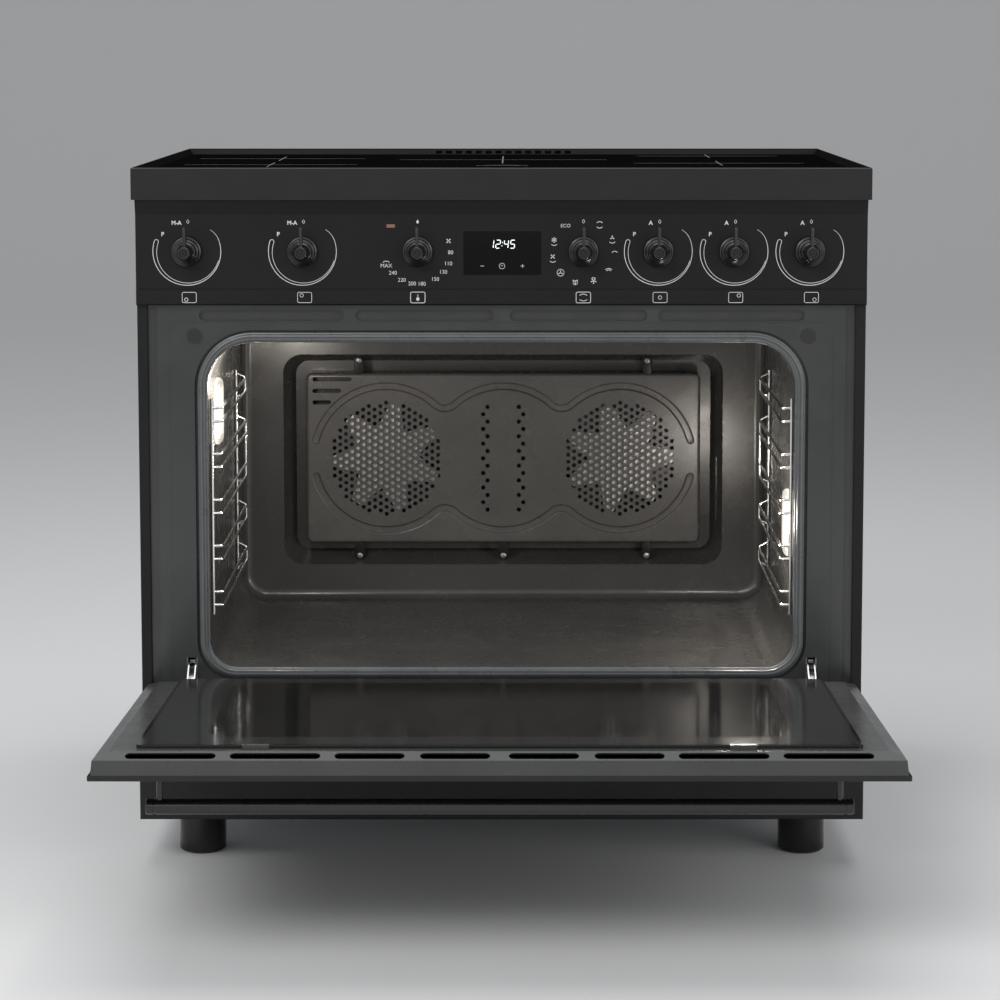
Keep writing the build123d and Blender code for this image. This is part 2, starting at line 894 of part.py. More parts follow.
def insulation():
    """The blanket round the oven, with room for the lamps, the fan shafts and the lower element."""
    t = enamel_sheet + insulation_gap
    half = half_cavity + t + insulation_thick
    wool = wide_block(half, (insulation_front, insulation_back),
                      (shield_low + sheet + seat_gap, cavity_high + t + insulation_thick))
    wool -= plate(cavity_outline(t), insulation_front, back_wall + t - insulation_front)
    under = (cavity_low - t - lower_space, cavity_low)
    wool -= wide_block(half_cavity - 30, (insulation_front, back_wall + t), under)
    wool -= recess_form(t)
    for hole in back_holes(2.5, insulation_back + cut_past):
        wool -= hole
    room = [size + 6 for size in lamp_window]
    for cut in lamp_openings(*room, (half_cavity, half + cut_past)):
        wool -= cut
    return wool


def heater_legs(x):
    """Places of the two legs of a ring heater, across and up."""
    z = fan_height + math.sqrt(heater_radius ** 2 - heater_leg_half ** 2)
    return ((x - heater_leg_half, z), (x + heater_leg_half, z))


def ring_heater(x):
    """A tube ring round a fan, with two legs that leave through the back of the recess."""
    y = recess_back - heater_back_gap
    gap = math.degrees(math.asin(heater_leg_half / heater_radius))
    centre = Plane(origin=(x, y, fan_height), x_dir=(0, 0, 1), z_dir=(0, 1, 0))
    path = centre * CenterArc((0, 0), heater_radius, gap, 360 - 2 * gap)
    ring = sweep(Plane(origin=path @ 0, z_dir=path % 0) * RegularPolygon(heater_tube, 6), path=path)
    for leg, z in heater_legs(x):
        ring += wire(heater_tube, [(leg, y - heater_tube * 0.9, z), (leg, insulation_back + 8, z)])
    return ring


def lower_element():
    """A tube under the oven floor."""
    z = cavity_low - enamel_sheet - insulation_gap - lower_space + element_tube + seat_gap
    front, back = frame_front + lower_front, back_wall - lower_back
    side = half_cavity - lower_side
    return wire(element_tube, [(-side, back, z), (-side, front, z), (side, front, z), (side, back, z)])


def grill_element():
    """A looped tube under the oven roof, with both ends in the back wall."""
    z = cavity_high - grill_drop
    front, back = frame_front + grill_front, back_wall - grill_back
    half = half_cavity - grill_side
    points = [(-half, back_wall, z)]
    for i in range(grill_runs):
        x = -half + 2 * half * i / (grill_runs - 1)
        ends = (back, front) if i % 2 == 0 else (front, back)
        points += [(x, ends[0], z), (x, ends[1], z)]
    points = points[:1] + points[2:-1] + [(half, back_wall, z)]
    return wire(element_tube, points)


def baffle_outline(inset):
    return Pos(0, fan_height) * RectangleRounded(
        2 * (baffle_half - inset), 2 * (baffle_half_height - inset), baffle_corner - inset / 2)


def grille_holes(x):
    """A field of six-sided holes on a triangular lattice round the fan axis, plain before the hub."""
    holes = []
    row_pitch = hole_pitch * math.sqrt(3) / 2
    rows = int(grille_radius / row_pitch)
    steps = int(grille_radius / hole_pitch) + 1
    for row in range(-rows, rows + 1):
        shift = hole_pitch / 2 if row % 2 else 0
        z = row * row_pitch
        for step in range(-steps, steps + 1):
            dx = step * hole_pitch + shift
            if hub_radius < math.hypot(dx, z) < grille_radius:
                holes.append(Pos(x + dx, fan_height + z) * RegularPolygon(hole_radius, 6, rotation=30))
    return holes


def chain_holes():
    """Two zigzag columns of small holes between the fans."""
    holes = []
    for column in (-chain_place, chain_place):
        for i in range(chain_count):
            dx = chain_offset if i % 2 else -chain_offset
            z = fan_height + (i - (chain_count - 1) / 2) * chain_pitch
            holes.append(Pos(column + dx, z) * RegularPolygon(chain_hole, 4))
    return holes


def louvre_holes():
    """Three short slots, one under another, in the upper left corner."""
    holes = []
    for i, length in enumerate(louvre_lengths):
        x = -baffle_half + louvre_place[0] + length / 2
        z = fan_height + baffle_half_height - louvre_place[1] - louvre_pitch * i
        holes.append(Pos(x, z) * Rectangle(length, louvre_height))
    return holes


def fan_lobes(radius, blend):
    """The wavy outline round both fans and between them: a row of circles with blended joints."""
    steps = 2 * math.ceil(fan_place / (lobe_reach * groove_radius))
    pitch = 2 * fan_place / steps
    lobes = Sketch() + [Pos(i * pitch - fan_place, fan_height) * Circle(radius) for i in range(steps + 1)]
    joints = [v for v in lobes.vertices() if abs((v.X + fan_place) % pitch - pitch / 2) < 1]
    return fillet(joints, blend)


def groove_outline(grow):
    """The pressed groove that follows the lobes, left open at its far left and right."""
    half = groove_width / 2 + grow
    band = fan_lobes(groove_radius + half, groove_blend - half)
    band -= fan_lobes(groove_radius - half, groove_blend + half)
    reach = 2 * (fan_place + groove_radius) + 4 * groove_width
    return band - Pos(0, fan_height) * (Rectangle(reach, groove_open - 2 * grow) -
                                        Rectangle(2 * fan_place, groove_open))


def fan_baffle():
    """A shallow pressed cover over both fans, with perforated fields, a groove and screw ears."""
    t = enamel_sheet
    front = baffle_front
    cover = plate(baffle_outline(0), front, recess_depth - baffle_setback)
    cover -= plate(baffle_outline(t), front + t, recess_depth)
    cover += plate(groove_outline(t), front + t - 0.5, groove_depth + 0.5)
    for x, side in ear_places():
        middle = fan_height + side * (baffle_half_height + ear_length / 2 - cut_past)
        cover += plate(Pos(x, middle) * Rectangle(ear_width, ear_length + 2 * cut_past), front, t)
    cover -= plate(groove_outline(0), front - cut_past, groove_depth + cut_past)
    holes = chain_holes() + louvre_holes()
    for x in fan_places:
        holes += grille_holes(x)
    return cover - plate(Sketch() + holes, front - cut_past, t + 2 * cut_past)


def ear_places():
    """Where the ears of the baffle stand, across, and whether above or below it."""
    outer = baffle_half - 74
    return ((-outer, 1), (outer, 1), (-outer, -1), (0, -1), (outer, -1))


def baffle_screws():
    reach = baffle_half_height + ear_length - ear_screw
    front = baffle_front - screw_head
    screws = []
    for x, side in ear_places():
        z = fan_height + side * reach
        screws.append(prism(screw_radius, (x, front, z), (x, baffle_front, z), 6))
    return screws


def star():
    """A star with one blunt point for each blade."""
    valley = valley_share * impeller_radius
    tip = math.radians(360 / blade_count / 10)
    corners = ((-tip, impeller_radius), (tip, impeller_radius), (math.pi / blade_count, valley))
    points = []
    for i in range(blade_count):
        turn = 2 * math.pi * i / blade_count
        for offset, radius in corners:
            points.append((radius * math.sin(turn + offset), radius * math.cos(turn + offset)))
    return make_face(Polyline(*points, close=True))


def fan(side):
    """A pressed star wheel with a vane turned back from each point, on its shaft."""
    front = baffle_front + impeller_gap
    back = front + impeller_depth
    place = Pos(side * fan_place, 0, fan_height) * Rot(0, blade_turns[side], 0)
    wheel = plate(star(), front, blade_sheet) + through(hub_radius, 0, 0, (front, back))
    length = (hub_radius - 2, impeller_radius - 2)
    vane = block((-blade_sheet / 2, blade_sheet / 2), (front, back), length)
    for i in range(blade_count):
        wheel += Rot(0, i * 360 / blade_count, 0) * vane
    shaft = through(shaft_radius, 0, 0, (back, insulation_back + motor_depth))
    return [place * wheel, place * shaft]


def fan_motors():
    motors = []
    half, high, thick = motor_bracket
    y = insulation_back
    for x in fan_places:
        ends = (x, y + thick, fan_height), (x, y + thick + motor_depth, fan_height)
        motor = prism(motor_radius, *ends, 16)
        motor += block((x - half, x + half), (y, y + thick), (fan_height - high, fan_height + high))
        bore = (y - cut_past, y + motor_depth + cut_past)
        motors.append(motor - through(shaft_radius + pin_clearance, x, fan_height, bore))
    return motors


def lamp_covers():
    """Domed glass covers over the two oven lamps, seated on the side walls."""
    width, height, thick = lamp_cover
    covers = []
    for side, (y, z) in zip((-1, 1), lamp_points):
        face = Plane(origin=(side * half_cavity, y, z), x_dir=(0, 1, 0), z_dir=(-side, 0, 0))
        cover = extrude(face * RectangleRounded(width, height, lamp_cover_corner), amount=thick)
        inner = cover.edges().group_by(Axis.X)[0 if side > 0 else -1]
        covers.append(chamfer(inner, lamp_cover_bevel))
    return covers


def lamp_holders():
    """Open boxes behind the side walls, round the bulbs."""
    wall = lamp_holder_wall
    near = half_cavity + enamel_sheet + seat_gap
    far = half_cavity + lamp_holder_depth
    half, high = lamp_window
    outside = lamp_openings(half + wall, high + wall, (near, far))
    inside = lamp_openings(half, high, (near - cut_past, far - wall + 1))
    return [shell - room for shell, room in zip(outside, inside)]


def lamp_bulbs():
    bulbs = []
    for side, (y, z) in zip((-1, 1), lamp_points):
        x = side * (half_cavity + bulb_place)
        bulb = prism(bulb_radius, (x, y, z - bulb_half), (x, y, z + bulb_half), 12)
        bulbs.append(bulb + prism(pin_base, (x, y, z - lamp_window[1]), (x, y, z - bulb_half)))
    return bulbs


# Side racks

def rail_heights(i):
    """Heights of the lower and the upper rail of a level."""
    low = cavity_low + rack_low + i * rack_pitch
    return low, low + rail_spacing


def side_rail(z):
    """A rail that leaves the front upright, bends back, and runs to the loops at the rear."""
    front, back = rack_y
    return wire(rack_wire, [(rack_wall, front, z), (rack_inner + rack_bend, front, z),
                            (rack_inner, front + rack_bend, z), (rack_inner, back, z)])


def rear_loop(low, high):
    """A loop of wire off the rear upright, which carries the ends of the rails between two heights."""
    back = rack_y[1]
    return wire(rack_wire, [(rack_wall, back, high + rack_end), (rack_inner, back, high + 2),
                            (rack_inner, back, low - 2), (rack_wall, back, low - rack_end)])


def side_rack():
    """The right-hand rack: two uprights against the wall and a double rail at each level."""
    low = rail_heights(0)[0] - rack_end - 4
    high = rail_heights(rack_levels - 1)[1] + rack_end + 4
    rack = Part()
    for y in rack_y:
        rack += wire(rack_upright, [(rack_wall, y, low), (rack_wall, y, high)])
    for first, last in ((0, 0), (1, 1), (2, 3), (4, 4)):
        rack += rear_loop(rail_heights(first)[0], rail_heights(last)[1])
    for i in range(rack_levels):
        for z in rail_heights(i):
            rack += side_rail(z)
    return rack


# Hinges

def hook_y():
    return frame_front + hook_depth


def arm_reach():
    return math.hypot(hook_y() - pivot_y, hook_rise)


def arm_plane(x):
    """The plane of a hinge arm: its first axis runs from the hinge pin to the hook."""
    way = (0, hook_y() - pivot_y, hook_rise)
    return Plane(origin=(x, pivot_y, pivot_z), x_dir=way, z_dir=(1, 0, 0))


def hinge_arm():
    """The right-hand arm: a channel that rises from the pin, through the frame, to its hook."""
    reach = arm_reach()
    notch = pin_radius + seat_gap
    outline = Pos(reach / 2, 0) * SlotCenterToCenter(reach, 2 * arm_half)
    outline -= Circle(pin_radius + pin_clearance)
    outline -= Pos(reach, 0) * Circle(notch)
    outline -= Pos(reach, -arm_half / 2) * Rectangle(2 * notch, arm_half)
    arm = extrude(arm_plane(hinge_x - arm_width / 2) * outline, amount=arm_width)
    start = arm_half + 2
    end = reach + arm_head
    trough = Pos((start + end) / 2, arm_sheet) * Rectangle(end - start, 2 * arm_half)
    inside = arm_width - 2 * arm_sheet
    return arm - extrude(arm_plane(hinge_x - arm_width / 2 + arm_sheet) * trough, amount=inside)


def hinge_receiver():
    """The cup behind the frame whose cross pin holds the hook of the arm."""
    half = arm_width / 2 + seat_gap
    wall = receiver_wall
    front = frame_front + frame_step + sheet
    back = front + receiver_depth
    low, high = [pivot_z + height for height in receiver_heights]
    cup = block((hinge_x - half - wall, hinge_x + half + wall), (front, back), (low, high))
    height = (low - cut_past, high + cut_past)
    cup -= block((hinge_x - half, hinge_x + half), (front - cut_past, back - wall), height)
    pin = arm_plane(hinge_x - half) * Pos(arm_reach(), 0) * Circle(pin_radius)
    return cup + extrude(pin, amount=2 * half)


# Door, modelled closed round the pin at the origin of its own axes, then opened

def door_window():
    return window(window_half, window_low, window_high, window_corner, window_corner)


def door_skin():
    """The painted outer skin, with its window and the holes for the handle."""
    inside = (-skin_reach + sheet, 0)
    skin = wide_block(door_half, (-skin_reach, -skin_reach + skin_edge), (-door_foot, door_reach))
    skin = fillet(skin.edges().group_by(Axis.Y)[0], skin_round)
    skin -= wide_block(door_half - sheet, inside, (-door_foot + sheet, door_reach - sheet))
    skin -= plate(door_window(), -skin_reach - cut_past, sheet + 2 * cut_past)
    for x in (-post_x, post_x):
        skin -= through(post_screw, x, handle_z, (-skin_reach - cut_past, -skin_reach + sheet + cut_past))
    return skin


def foot_wedge(wall):
    """What the bevel at the foot of the door takes off the pan, for a wall inside it."""
    slope = (flat_reach - foot_reach) / (door_glass_low + door_foot)
    shift = wall * math.hypot(1, slope)
    low = -door_foot - 5
    low_y = flat_reach - shift - slope * (door_glass_low - low)
    high = door_glass_low + (shift + 5) / slope
    points = [(low_y, low), (flat_reach + 5, high), (flat_reach + 10, high), (flat_reach + 10, low)]
    return profile(points, -door_half, door_half)


def pan_form(wall):
    """The pressed inner pan of the door: a drafted wall, a bevel up to the flat, and a bevelled foot."""
    back = -skin_reach + skin_edge
    half = door_half - pan_inset - wall
    low = pan_margin - door_foot + wall
    high = door_reach - pan_margin - wall
    base = facing(back) * window(half, low, high)
    middle = facing(back + pan_wall) * window(half - pan_draft, low, high)
    flat = facing(flat_reach - wall) * window(half - pan_draft - pan_bevel, low, high - pan_bevel)
    return loft([base, middle]) + loft([middle, flat]) - foot_wedge(wall)


def door_frame():
    """The inner pan, with its window, the slots in its upper bevel and the openings for the hinge arms."""
    frame = pan_form(0) - pan_form(enamel_sheet)
    frame -= plate(door_window(), flat_reach - enamel_sheet - cut_past, enamel_sheet + 2 * cut_past)
    bevel_drop = flat_reach + skin_reach - skin_edge - pan_wall
    middle = (flat_reach - bevel_drop / 2, door_reach - pan_margin - pan_bevel / 2)
    for place, length in vent_slots:
        for x in (-place, place):
            slope = Plane(origin=(x, *middle), x_dir=(1, 0, 0), z_dir=(0, pan_bevel, bevel_drop))
            frame -= extrude(slope * SlotOverall(length, vent_slot_height), amount=5, both=True)
    slot = block((hinge_x - arm_slot_half, hinge_x + arm_slot_half), (-4, flat_reach + cut_past),
                 (-door_foot - cut_past, door_glass_low + arm_half))
    return frame - slot - mirrored(slot)


def door_glass_outer():
    low, high = window_low - window_lap, window_high + window_lap
    outline = window(window_half + window_lap, low, high, door_glass_corner, door_glass_corner)
    return plate(outline, -skin_reach + sheet, door_glass_thick)


def door_glass_middle():
    half = hinge_x - box_half - seat_gap
    outline = window(half, middle_glass_low, door_glass_high - 20, door_glass_corner, door_glass_corner)
    return plate(outline, middle_glass_front, door_glass_thick)


def door_glass_inner():
    outline = window(door_glass_half, door_glass_low, door_glass_high, 4, door_glass_corner)
    pane = plate(outline, flat_reach, door_glass_thick)
    notch = block((hinge_x - arm_slot_half - 1.5, door_glass_half + cut_past),
                  (flat_reach - cut_past, flat_reach + door_glass_thick + cut_past),
                  (door_glass_low - cut_past, door_glass_low + arm_half + 2))
    return pane - notch - mirrored(notch)


def glass_clips():
    """Two clips over the top edge of the inner glass."""
    low = door_glass_high
    face = flat_reach + door_glass_thick
    clip = block(clip_place, (flat_reach, face + clip_proud), (low, low + clip_height))
    return pair(clip + block(clip_place, (face, face + clip_proud), (low - clip_lap, low)))


def hinge_box():
    """The right-hand hinge channel inside the door, open towards the oven."""
    inner = flat_reach - enamel_sheet - seat_gap
    back = box_back
    side = [(back, -box_foot), (2, -box_foot), (inner, door_glass_low + 4),
            (inner, box_height), (back, box_height)]
    box = profile(side, hinge_x - box_half, hinge_x + box_half)
    inside = box_half - box_wall
    box -= block((hinge_x - inside, hinge_x + inside), (back + box_wall, flat_reach + 5),
                 (-box_foot - cut_past, box_height - box_wall))
    reach = box_half + cut_past
    return box - across(pin_radius + pin_clearance, (hinge_x - reach, hinge_x + reach), 0, 0)


def hinge_pin():
    return across(pin_radius, (hinge_x - box_half, hinge_x + box_half), 0, 0)


def door_spring():
    return prism(spring_radius, (hinge_x, -1, spring_low), (hinge_x, -1, box_height - box_wall - seat_gap))


def handle_bar():
    """A round bar with a turned groove near each end, bored for its posts."""
    y = -skin_reach - handle_standoff
    bar = across(handle_radius, (-handle_half, handle_half), y, handle_z)
    bar = chamfer(bar.edges(), handle_chamfer)
    for sign in (-1, 1):
        x = sorted(sign * (handle_half - place) for place in groove_places)
        groove = across(handle_radius + 1, x, y, handle_z)
        bar -= groove - across(handle_radius - groove_cut, x, y, handle_z)
        bar -= through(post_radius + 0.1, sign * post_x, handle_z, (y, y + 2 * handle_radius))
    return bar


def handle_post():
    y = -skin_reach
    post = through(post_radius, post_x, handle_z, (y - handle_standoff + 3, y))
    return post + through(post_flange[0], post_x, handle_z, (y - post_flange[1], y))


def opened(solid):
    """Places a door piece at the pin and turns it from closed to open."""
    return Pos(0, pivot_y, pivot_z) * Rot(open_angle, 0, 0) * solid


# Drawer

def drawer_front():
    """A folded front, open at its back inside a return all round."""
    back = frame_front - drawer_back_lap
    shell = wide_block(half_body, (drawer_front_face, back), (drawer_low, drawer_top))
    shell = fillet(shell.edges().group_by(Axis.Y)[0], skin_round)
    shell -= wide_block(half_body - sheet, (drawer_front_face + sheet, back - sheet),
                        (drawer_low + sheet, drawer_top - sheet))
    gap = (drawer_low + drawer_open_edge, drawer_top - drawer_open_edge)
    return shell - wide_block(half_body - drawer_open_side, (back - 3, back + cut_past), gap)


def drawer_box():
    """An open box with a rail along each side, fixed to the back of the drawer front."""
    front = frame_front - drawer_back_lap
    back = front + drawer_length
    box = wide_block(drawer_half, (front, back), (box_low, box_high))
    inside = (front + sheet, back - sheet)
    box -= wide_block(drawer_half - sheet, inside, (box_low + sheet, box_high + cut_past))
    rail = (box_low + rail_rise, box_low + rail_rise + rail_size[1])
    for sign in (-1, 1):
        x = sorted((sign * drawer_half, sign * (drawer_half + rail_size[0])))
        box += block(x, (front + 8, back), rail)
    return box


def drawer_runner():
    """The right-hand runner: a channel on a foot, which holds the side rail of the drawer."""
    t = runner_sheet
    web = drawer_half + rail_size[0] + 1
    lip = drawer_half + 1
    low = foot_height + sheet
    rail_low = box_low + rail_rise - runner_gap
    rail_high = box_low + rail_rise + rail_size[1] + runner_gap
    y = (frame_front + 5, frame_front + drawer_length + 20)
    runner = block((web, web + t), y, (low, rail_high + t))
    runner += block((web, web + runner_foot), y, (low, low + t))
    runner += block((lip, web + t), y, (rail_high, rail_high + t))
    return runner + block((lip, web + t), y, (rail_low - t, rail_low))


# Supply connection

def terminal_box():
    """A closed box inside the rear panel, round the inner end of the cable gland."""
    x, z = gland_place
    half, high, deep = terminal_size[0] / 2, terminal_size[1] / 2, terminal_size[2]
    back = back_inside
    wall = terminal_wall
    box = block((x - half, x + half), (back - deep, back), (z - high, z + high))
    box -= block((x - half + wall, x + half - wall), (back - deep + wall, back - wall),
                 (z - high + wall, z + high - wall))
    return box - through(gland_radius + seat_gap, x, z, (back - wall - cut_past, back + cut_past))


def cable_gland():
    """A screwed gland with a nut on each side of the panel and a plain bore."""
    x, z = gland_place
    back = body_back - sheet
    inner, outer = back - sheet - 8, back + 10
    body = through(gland_radius, x, z, (inner, back))
    body += plate(Pos(x, z) * RegularPolygon(gland_nuts[0], 6), back, 6)
    body += through(gland_flange, x, z, (back + 6, outer))
    body += plate(Pos(x, z) * RegularPolygon(gland_nuts[1], 6), back - sheet - 6, 4)
    return body - through(gland_bore, x, z, (inner - cut_past, outer + cut_past))


def fixed_pieces():
    """Every piece that stays with the cabinet, by the name of its file."""
    return {
        "hob_frame": hob_frame(),
        "hob_glass": hob_glass(),
        "coil_tray": coil_tray(),
        "coil_carriers": coil_carriers(),
        "induction_coils": induction_coils(),
        "circuit_boards": [power_board(-board_place), power_board(board_place), display_board()],
        "control_panel": control_panel(),
        "lower_trim": lower_trim(),
        "display_glass": display_glass(),
        "knob_switches": knob_switches(),
        "indicator_lamp": indicator_lamp(),
        "side_panel_right": side_panel(),
        "side_panel_left": mirrored(side_panel()),
        "rear_panel": rear_panel(),
        "base_pan": base_pan(),
        "heat_shields": heat_shields(),
        "feet": feet(),
        "front_frame": front_frame(),
        "door_gasket": door_gasket(),
        "door_buffers": door_buffers(),
        "cavity_liner": cavity_liner(),
        "cavity_back": cavity_back(),
        "insulation": insulation(),
        "oven_heaters": [ring_heater(x) for x in fan_places] + [lower_element()],
        "grill_element": grill_element(),
        "fan_baffle": fan_baffle(),
        "baffle_screws": baffle_screws(),
        "fan_motors": fan_motors(),
        "lamp_covers": lamp_covers(),
        "lamp_holders": lamp_holders(),
        "lamp_bulbs": lamp_bulbs(),
        "rack_right": side_rack(),
        "rack_left": mirrored(side_rack()),
        "hinge_arms": pair(hinge_arm()),
        "hinge_receivers": pair(hinge_receiver()),
        "drawer_runners": pair(drawer_runner()),
        "terminal_box": terminal_box(),
        "cable_gland": cable_gland(),
    }


def moving_pieces():
    """Every piece that turns or slides, by the name of its file."""
    pieces = {f"knob_{i + 1}": knob(x) for i, x in enumerate(knob_places)}
    pieces["fan_left"] = fan(-1)
    pieces["fan_right"] = fan(1)
    pieces["drawer_front"] = drawer_front()
    pieces["drawer_box"] = drawer_box()
    door = {
        "door_skin": door_skin(),
        "door_frame": door_frame(),
        "door_glass_outer": door_glass_outer(),
        "door_glass_middle": door_glass_middle(),
        "door_glass_inner": door_glass_inner(),
        "glass_clips": glass_clips(),
        "hinge_boxes": pair(hinge_box()),
        "hinge_pins": pair(hinge_pin()),
        "door_springs": pair(door_spring()),
        "handle_bar": handle_bar(),
        "handle_posts": pair(handle_post()),
    }
    for name, piece in door.items():
        pieces[name] = [opened(solid) for solid in as_list(piece)]
    return pieces


def as_list(piece):
    return piece if isinstance(piece, list) else [piece]


def middle_depth(pieces):
    """Half way between the foremost and the rearmost point of all the pieces."""
    boxes = [solid.bounding_box() for piece in pieces.values() for solid in as_list(piece)]
    return (min(box.min.Y for box in boxes) + max(box.max.Y for box in boxes)) / 2


def main():
    os.makedirs("parts", exist_ok=True)
    pieces = {**fixed_pieces(), **moving_pieces()}
    shift = middle_depth(pieces)
    print("pieces", len(pieces), "moved forward by", round(shift, 4))
    for name, piece in pieces.items():
        solids = [Pos(0, -shift, 0) * solid for solid in as_list(piece)]
        shape = solids[0] if len(solids) == 1 else Compound(children=solids)
        export_step(shape, f"parts/{name}.step")


if __name__ == "__main__":
    main()
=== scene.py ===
import json
import math

import bmesh
import bpy
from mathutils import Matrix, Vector


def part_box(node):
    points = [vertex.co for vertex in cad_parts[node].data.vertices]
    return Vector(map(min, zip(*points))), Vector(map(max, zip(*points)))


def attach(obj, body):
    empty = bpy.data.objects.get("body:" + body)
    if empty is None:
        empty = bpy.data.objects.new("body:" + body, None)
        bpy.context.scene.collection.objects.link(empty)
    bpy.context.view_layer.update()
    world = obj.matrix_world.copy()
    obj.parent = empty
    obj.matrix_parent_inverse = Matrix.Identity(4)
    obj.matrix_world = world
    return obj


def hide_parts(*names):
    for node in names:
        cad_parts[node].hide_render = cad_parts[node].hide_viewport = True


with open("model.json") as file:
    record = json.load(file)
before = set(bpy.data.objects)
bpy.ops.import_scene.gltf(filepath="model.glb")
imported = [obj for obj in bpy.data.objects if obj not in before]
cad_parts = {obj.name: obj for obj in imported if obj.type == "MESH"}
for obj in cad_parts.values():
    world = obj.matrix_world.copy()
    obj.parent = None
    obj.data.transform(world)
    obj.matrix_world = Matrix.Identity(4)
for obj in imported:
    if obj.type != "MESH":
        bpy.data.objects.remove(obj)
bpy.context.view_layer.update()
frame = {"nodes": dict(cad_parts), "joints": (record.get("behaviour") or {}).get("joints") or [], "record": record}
nodes = frame["nodes"]
joints = {joint["name"]: joint for joint in frame["joints"]}

# Lengths below are in millimetres unless they come from the frame, which is in metres
MM = 0.001


# Places taken from the frame

def low(node):
    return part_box(node)[0] / MM


def high(node):
    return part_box(node)[1] / MM


def axis(joint):
    return Vector(joints[joint]["pos_m"]) / MM


HOB_FRONT = low("hob_frame").y
PANEL_SETBACK = 8.0
PANEL_FRONT = HOB_FRONT + PANEL_SETBACK
BAND_FRONT = low("lower_trim").y
GLASS_TOP = high("hob_glass").z
KNOBS = [f"knob_{i}" for i in range(1, 8)]


# Materials: each is a procedural node tree on the piece's own coordinates

# The middle range of a noise value, where nearly all of it lies
NOISE_LOW = 0.3
NOISE_HIGH = 0.7


def new_material(name, color, rough, metal=0.0, specular=0.5):
    """A principled material with plain values, ready for its textures."""
    made = bpy.data.materials.new(name)
    made.use_nodes = True
    shader = made.node_tree.nodes["Principled BSDF"]
    shader.inputs["Base Color"].default_value = (*color, 1)
    shader.inputs["Roughness"].default_value = rough
    shader.inputs["Metallic"].default_value = metal
    shader.inputs["Specular IOR Level"].default_value = specular
    return made


def shader_of(made):
    return made.node_tree.nodes["Principled BSDF"]


def noise(made, scale, detail=3.0, stretch=(1, 1, 1)):
    """A noise value on the piece's own coordinates."""
    tree = made.node_tree
    coord = tree.nodes.new("ShaderNodeTexCoord")
    mapping = tree.nodes.new("ShaderNodeMapping")
    mapping.inputs["Scale"].default_value = stretch
    texture = tree.nodes.new("ShaderNodeTexNoise")
    texture.inputs["Scale"].default_value = scale
    texture.inputs["Detail"].default_value = detail
    tree.links.new(coord.outputs["Object"], mapping.inputs["Vector"])
    tree.links.new(mapping.outputs["Vector"], texture.inputs["Vector"])
    return texture.outputs["Fac"]


def spread(made, value, start, end, socket):
    """Maps a value to one of the shader's sockets; start and end each pair a value with its result."""
    tree = made.node_tree
    mapped = tree.nodes.new("ShaderNodeMapRange")
    mapped.inputs["From Min"].default_value = start[0]
    mapped.inputs["From Max"].default_value = end[0]
    mapped.inputs["To Min"].default_value = start[1]
    mapped.inputs["To Max"].default_value = end[1]
    tree.links.new(value, mapped.inputs["Value"])
    tree.links.new(mapped.outputs["Result"], shader_of(made).inputs[socket])


def vary_color(made, fac, dark, light):
    """Colour that drifts between two tones."""
    tree = made.node_tree
    ramp = tree.nodes.new("ShaderNodeValToRGB")
    ramp.color_ramp.elements[0].position = NOISE_LOW
    ramp.color_ramp.elements[1].position = NOISE_HIGH
    ramp.color_ramp.elements[0].color = (*dark, 1)
    ramp.color_ramp.elements[1].color = (*light, 1)
    tree.links.new(fac, ramp.inputs["Fac"])
    tree.links.new(ramp.outputs["Color"], shader_of(made).inputs["Base Color"])


def vary_rough(made, fac, smooth, rough):
    spread(made, fac, (NOISE_LOW, smooth), (NOISE_HIGH, rough), "Roughness")


def add_bump(made, fac, depth):
    """Relief of a depth in metres."""
    tree = made.node_tree
    bump = tree.nodes.new("ShaderNodeBump")
    bump.inputs["Strength"].default_value = 1.0
    bump.inputs["Distance"].default_value = depth
    tree.links.new(fac, bump.inputs["Height"])
    tree.links.new(bump.outputs["Normal"], shader_of(made).inputs["Normal"])


def shade(color, factor):
    return tuple(c * factor for c in color)


def enamel(name, color, rough, grain=900.0, relief=0.00002, specular=0.4):
    """Sprayed enamel: a fine orange-peel relief under a slow drift of tone."""
    made = new_material(name, color, rough, specular=specular)
    vary_color(made, noise(made, 9.0), shade(color, 0.88), shade(color, 1.12))
    vary_rough(made, noise(made, 30.0), rough - 0.04, rough + 0.04)
    add_bump(made, noise(made, grain, 2.0), relief)
    return made


def sheet_metal(name, color, rough, stretch=(1, 40, 40), metal=1.0):
    """Bare metal with a rolled or brushed grain along X."""
    made = new_material(name, color, rough, metal=metal)
    grain = noise(made, 60.0, 4.0, stretch)
    vary_color(made, grain, shade(color, 0.85), shade(color, 1.1))
    vary_rough(made, grain, rough - 0.05, rough + 0.06)
    add_bump(made, grain, 0.00001)
    return made


def plastic(name, color, rough, relief=0.00001):
    made = new_material(name, color, rough)
    vary_color(made, noise(made, 25.0), shade(color, 0.9), shade(color, 1.1))
    vary_rough(made, noise(made, 60.0), rough - 0.05, rough + 0.05)
    add_bump(made, noise(made, 1500.0, 2.0), relief)
    return made


def glossy_glass(name, color, rough, specular=0.5):
    """Dark opaque glass with faint wiping marks in its gloss."""
    made = new_material(name, color, rough, specular=specular)
    vary_color(made, noise(made, 4.0), shade(color, 0.9), shade(color, 1.1))
    vary_rough(made, noise(made, 7.0, 4.0, (1, 3, 1)), rough, rough + 0.03)
    return made


def dull_at_a_glance(made, gloss):
    """Takes the gloss away from a level surface that is seen edge-on, as against a dark wall."""
    weight = made.node_tree.nodes.new("ShaderNodeLayerWeight")
    spread(made, weight.outputs["Facing"], (0.5, gloss), (0.85, 0.0), "Specular IOR Level")
    return made


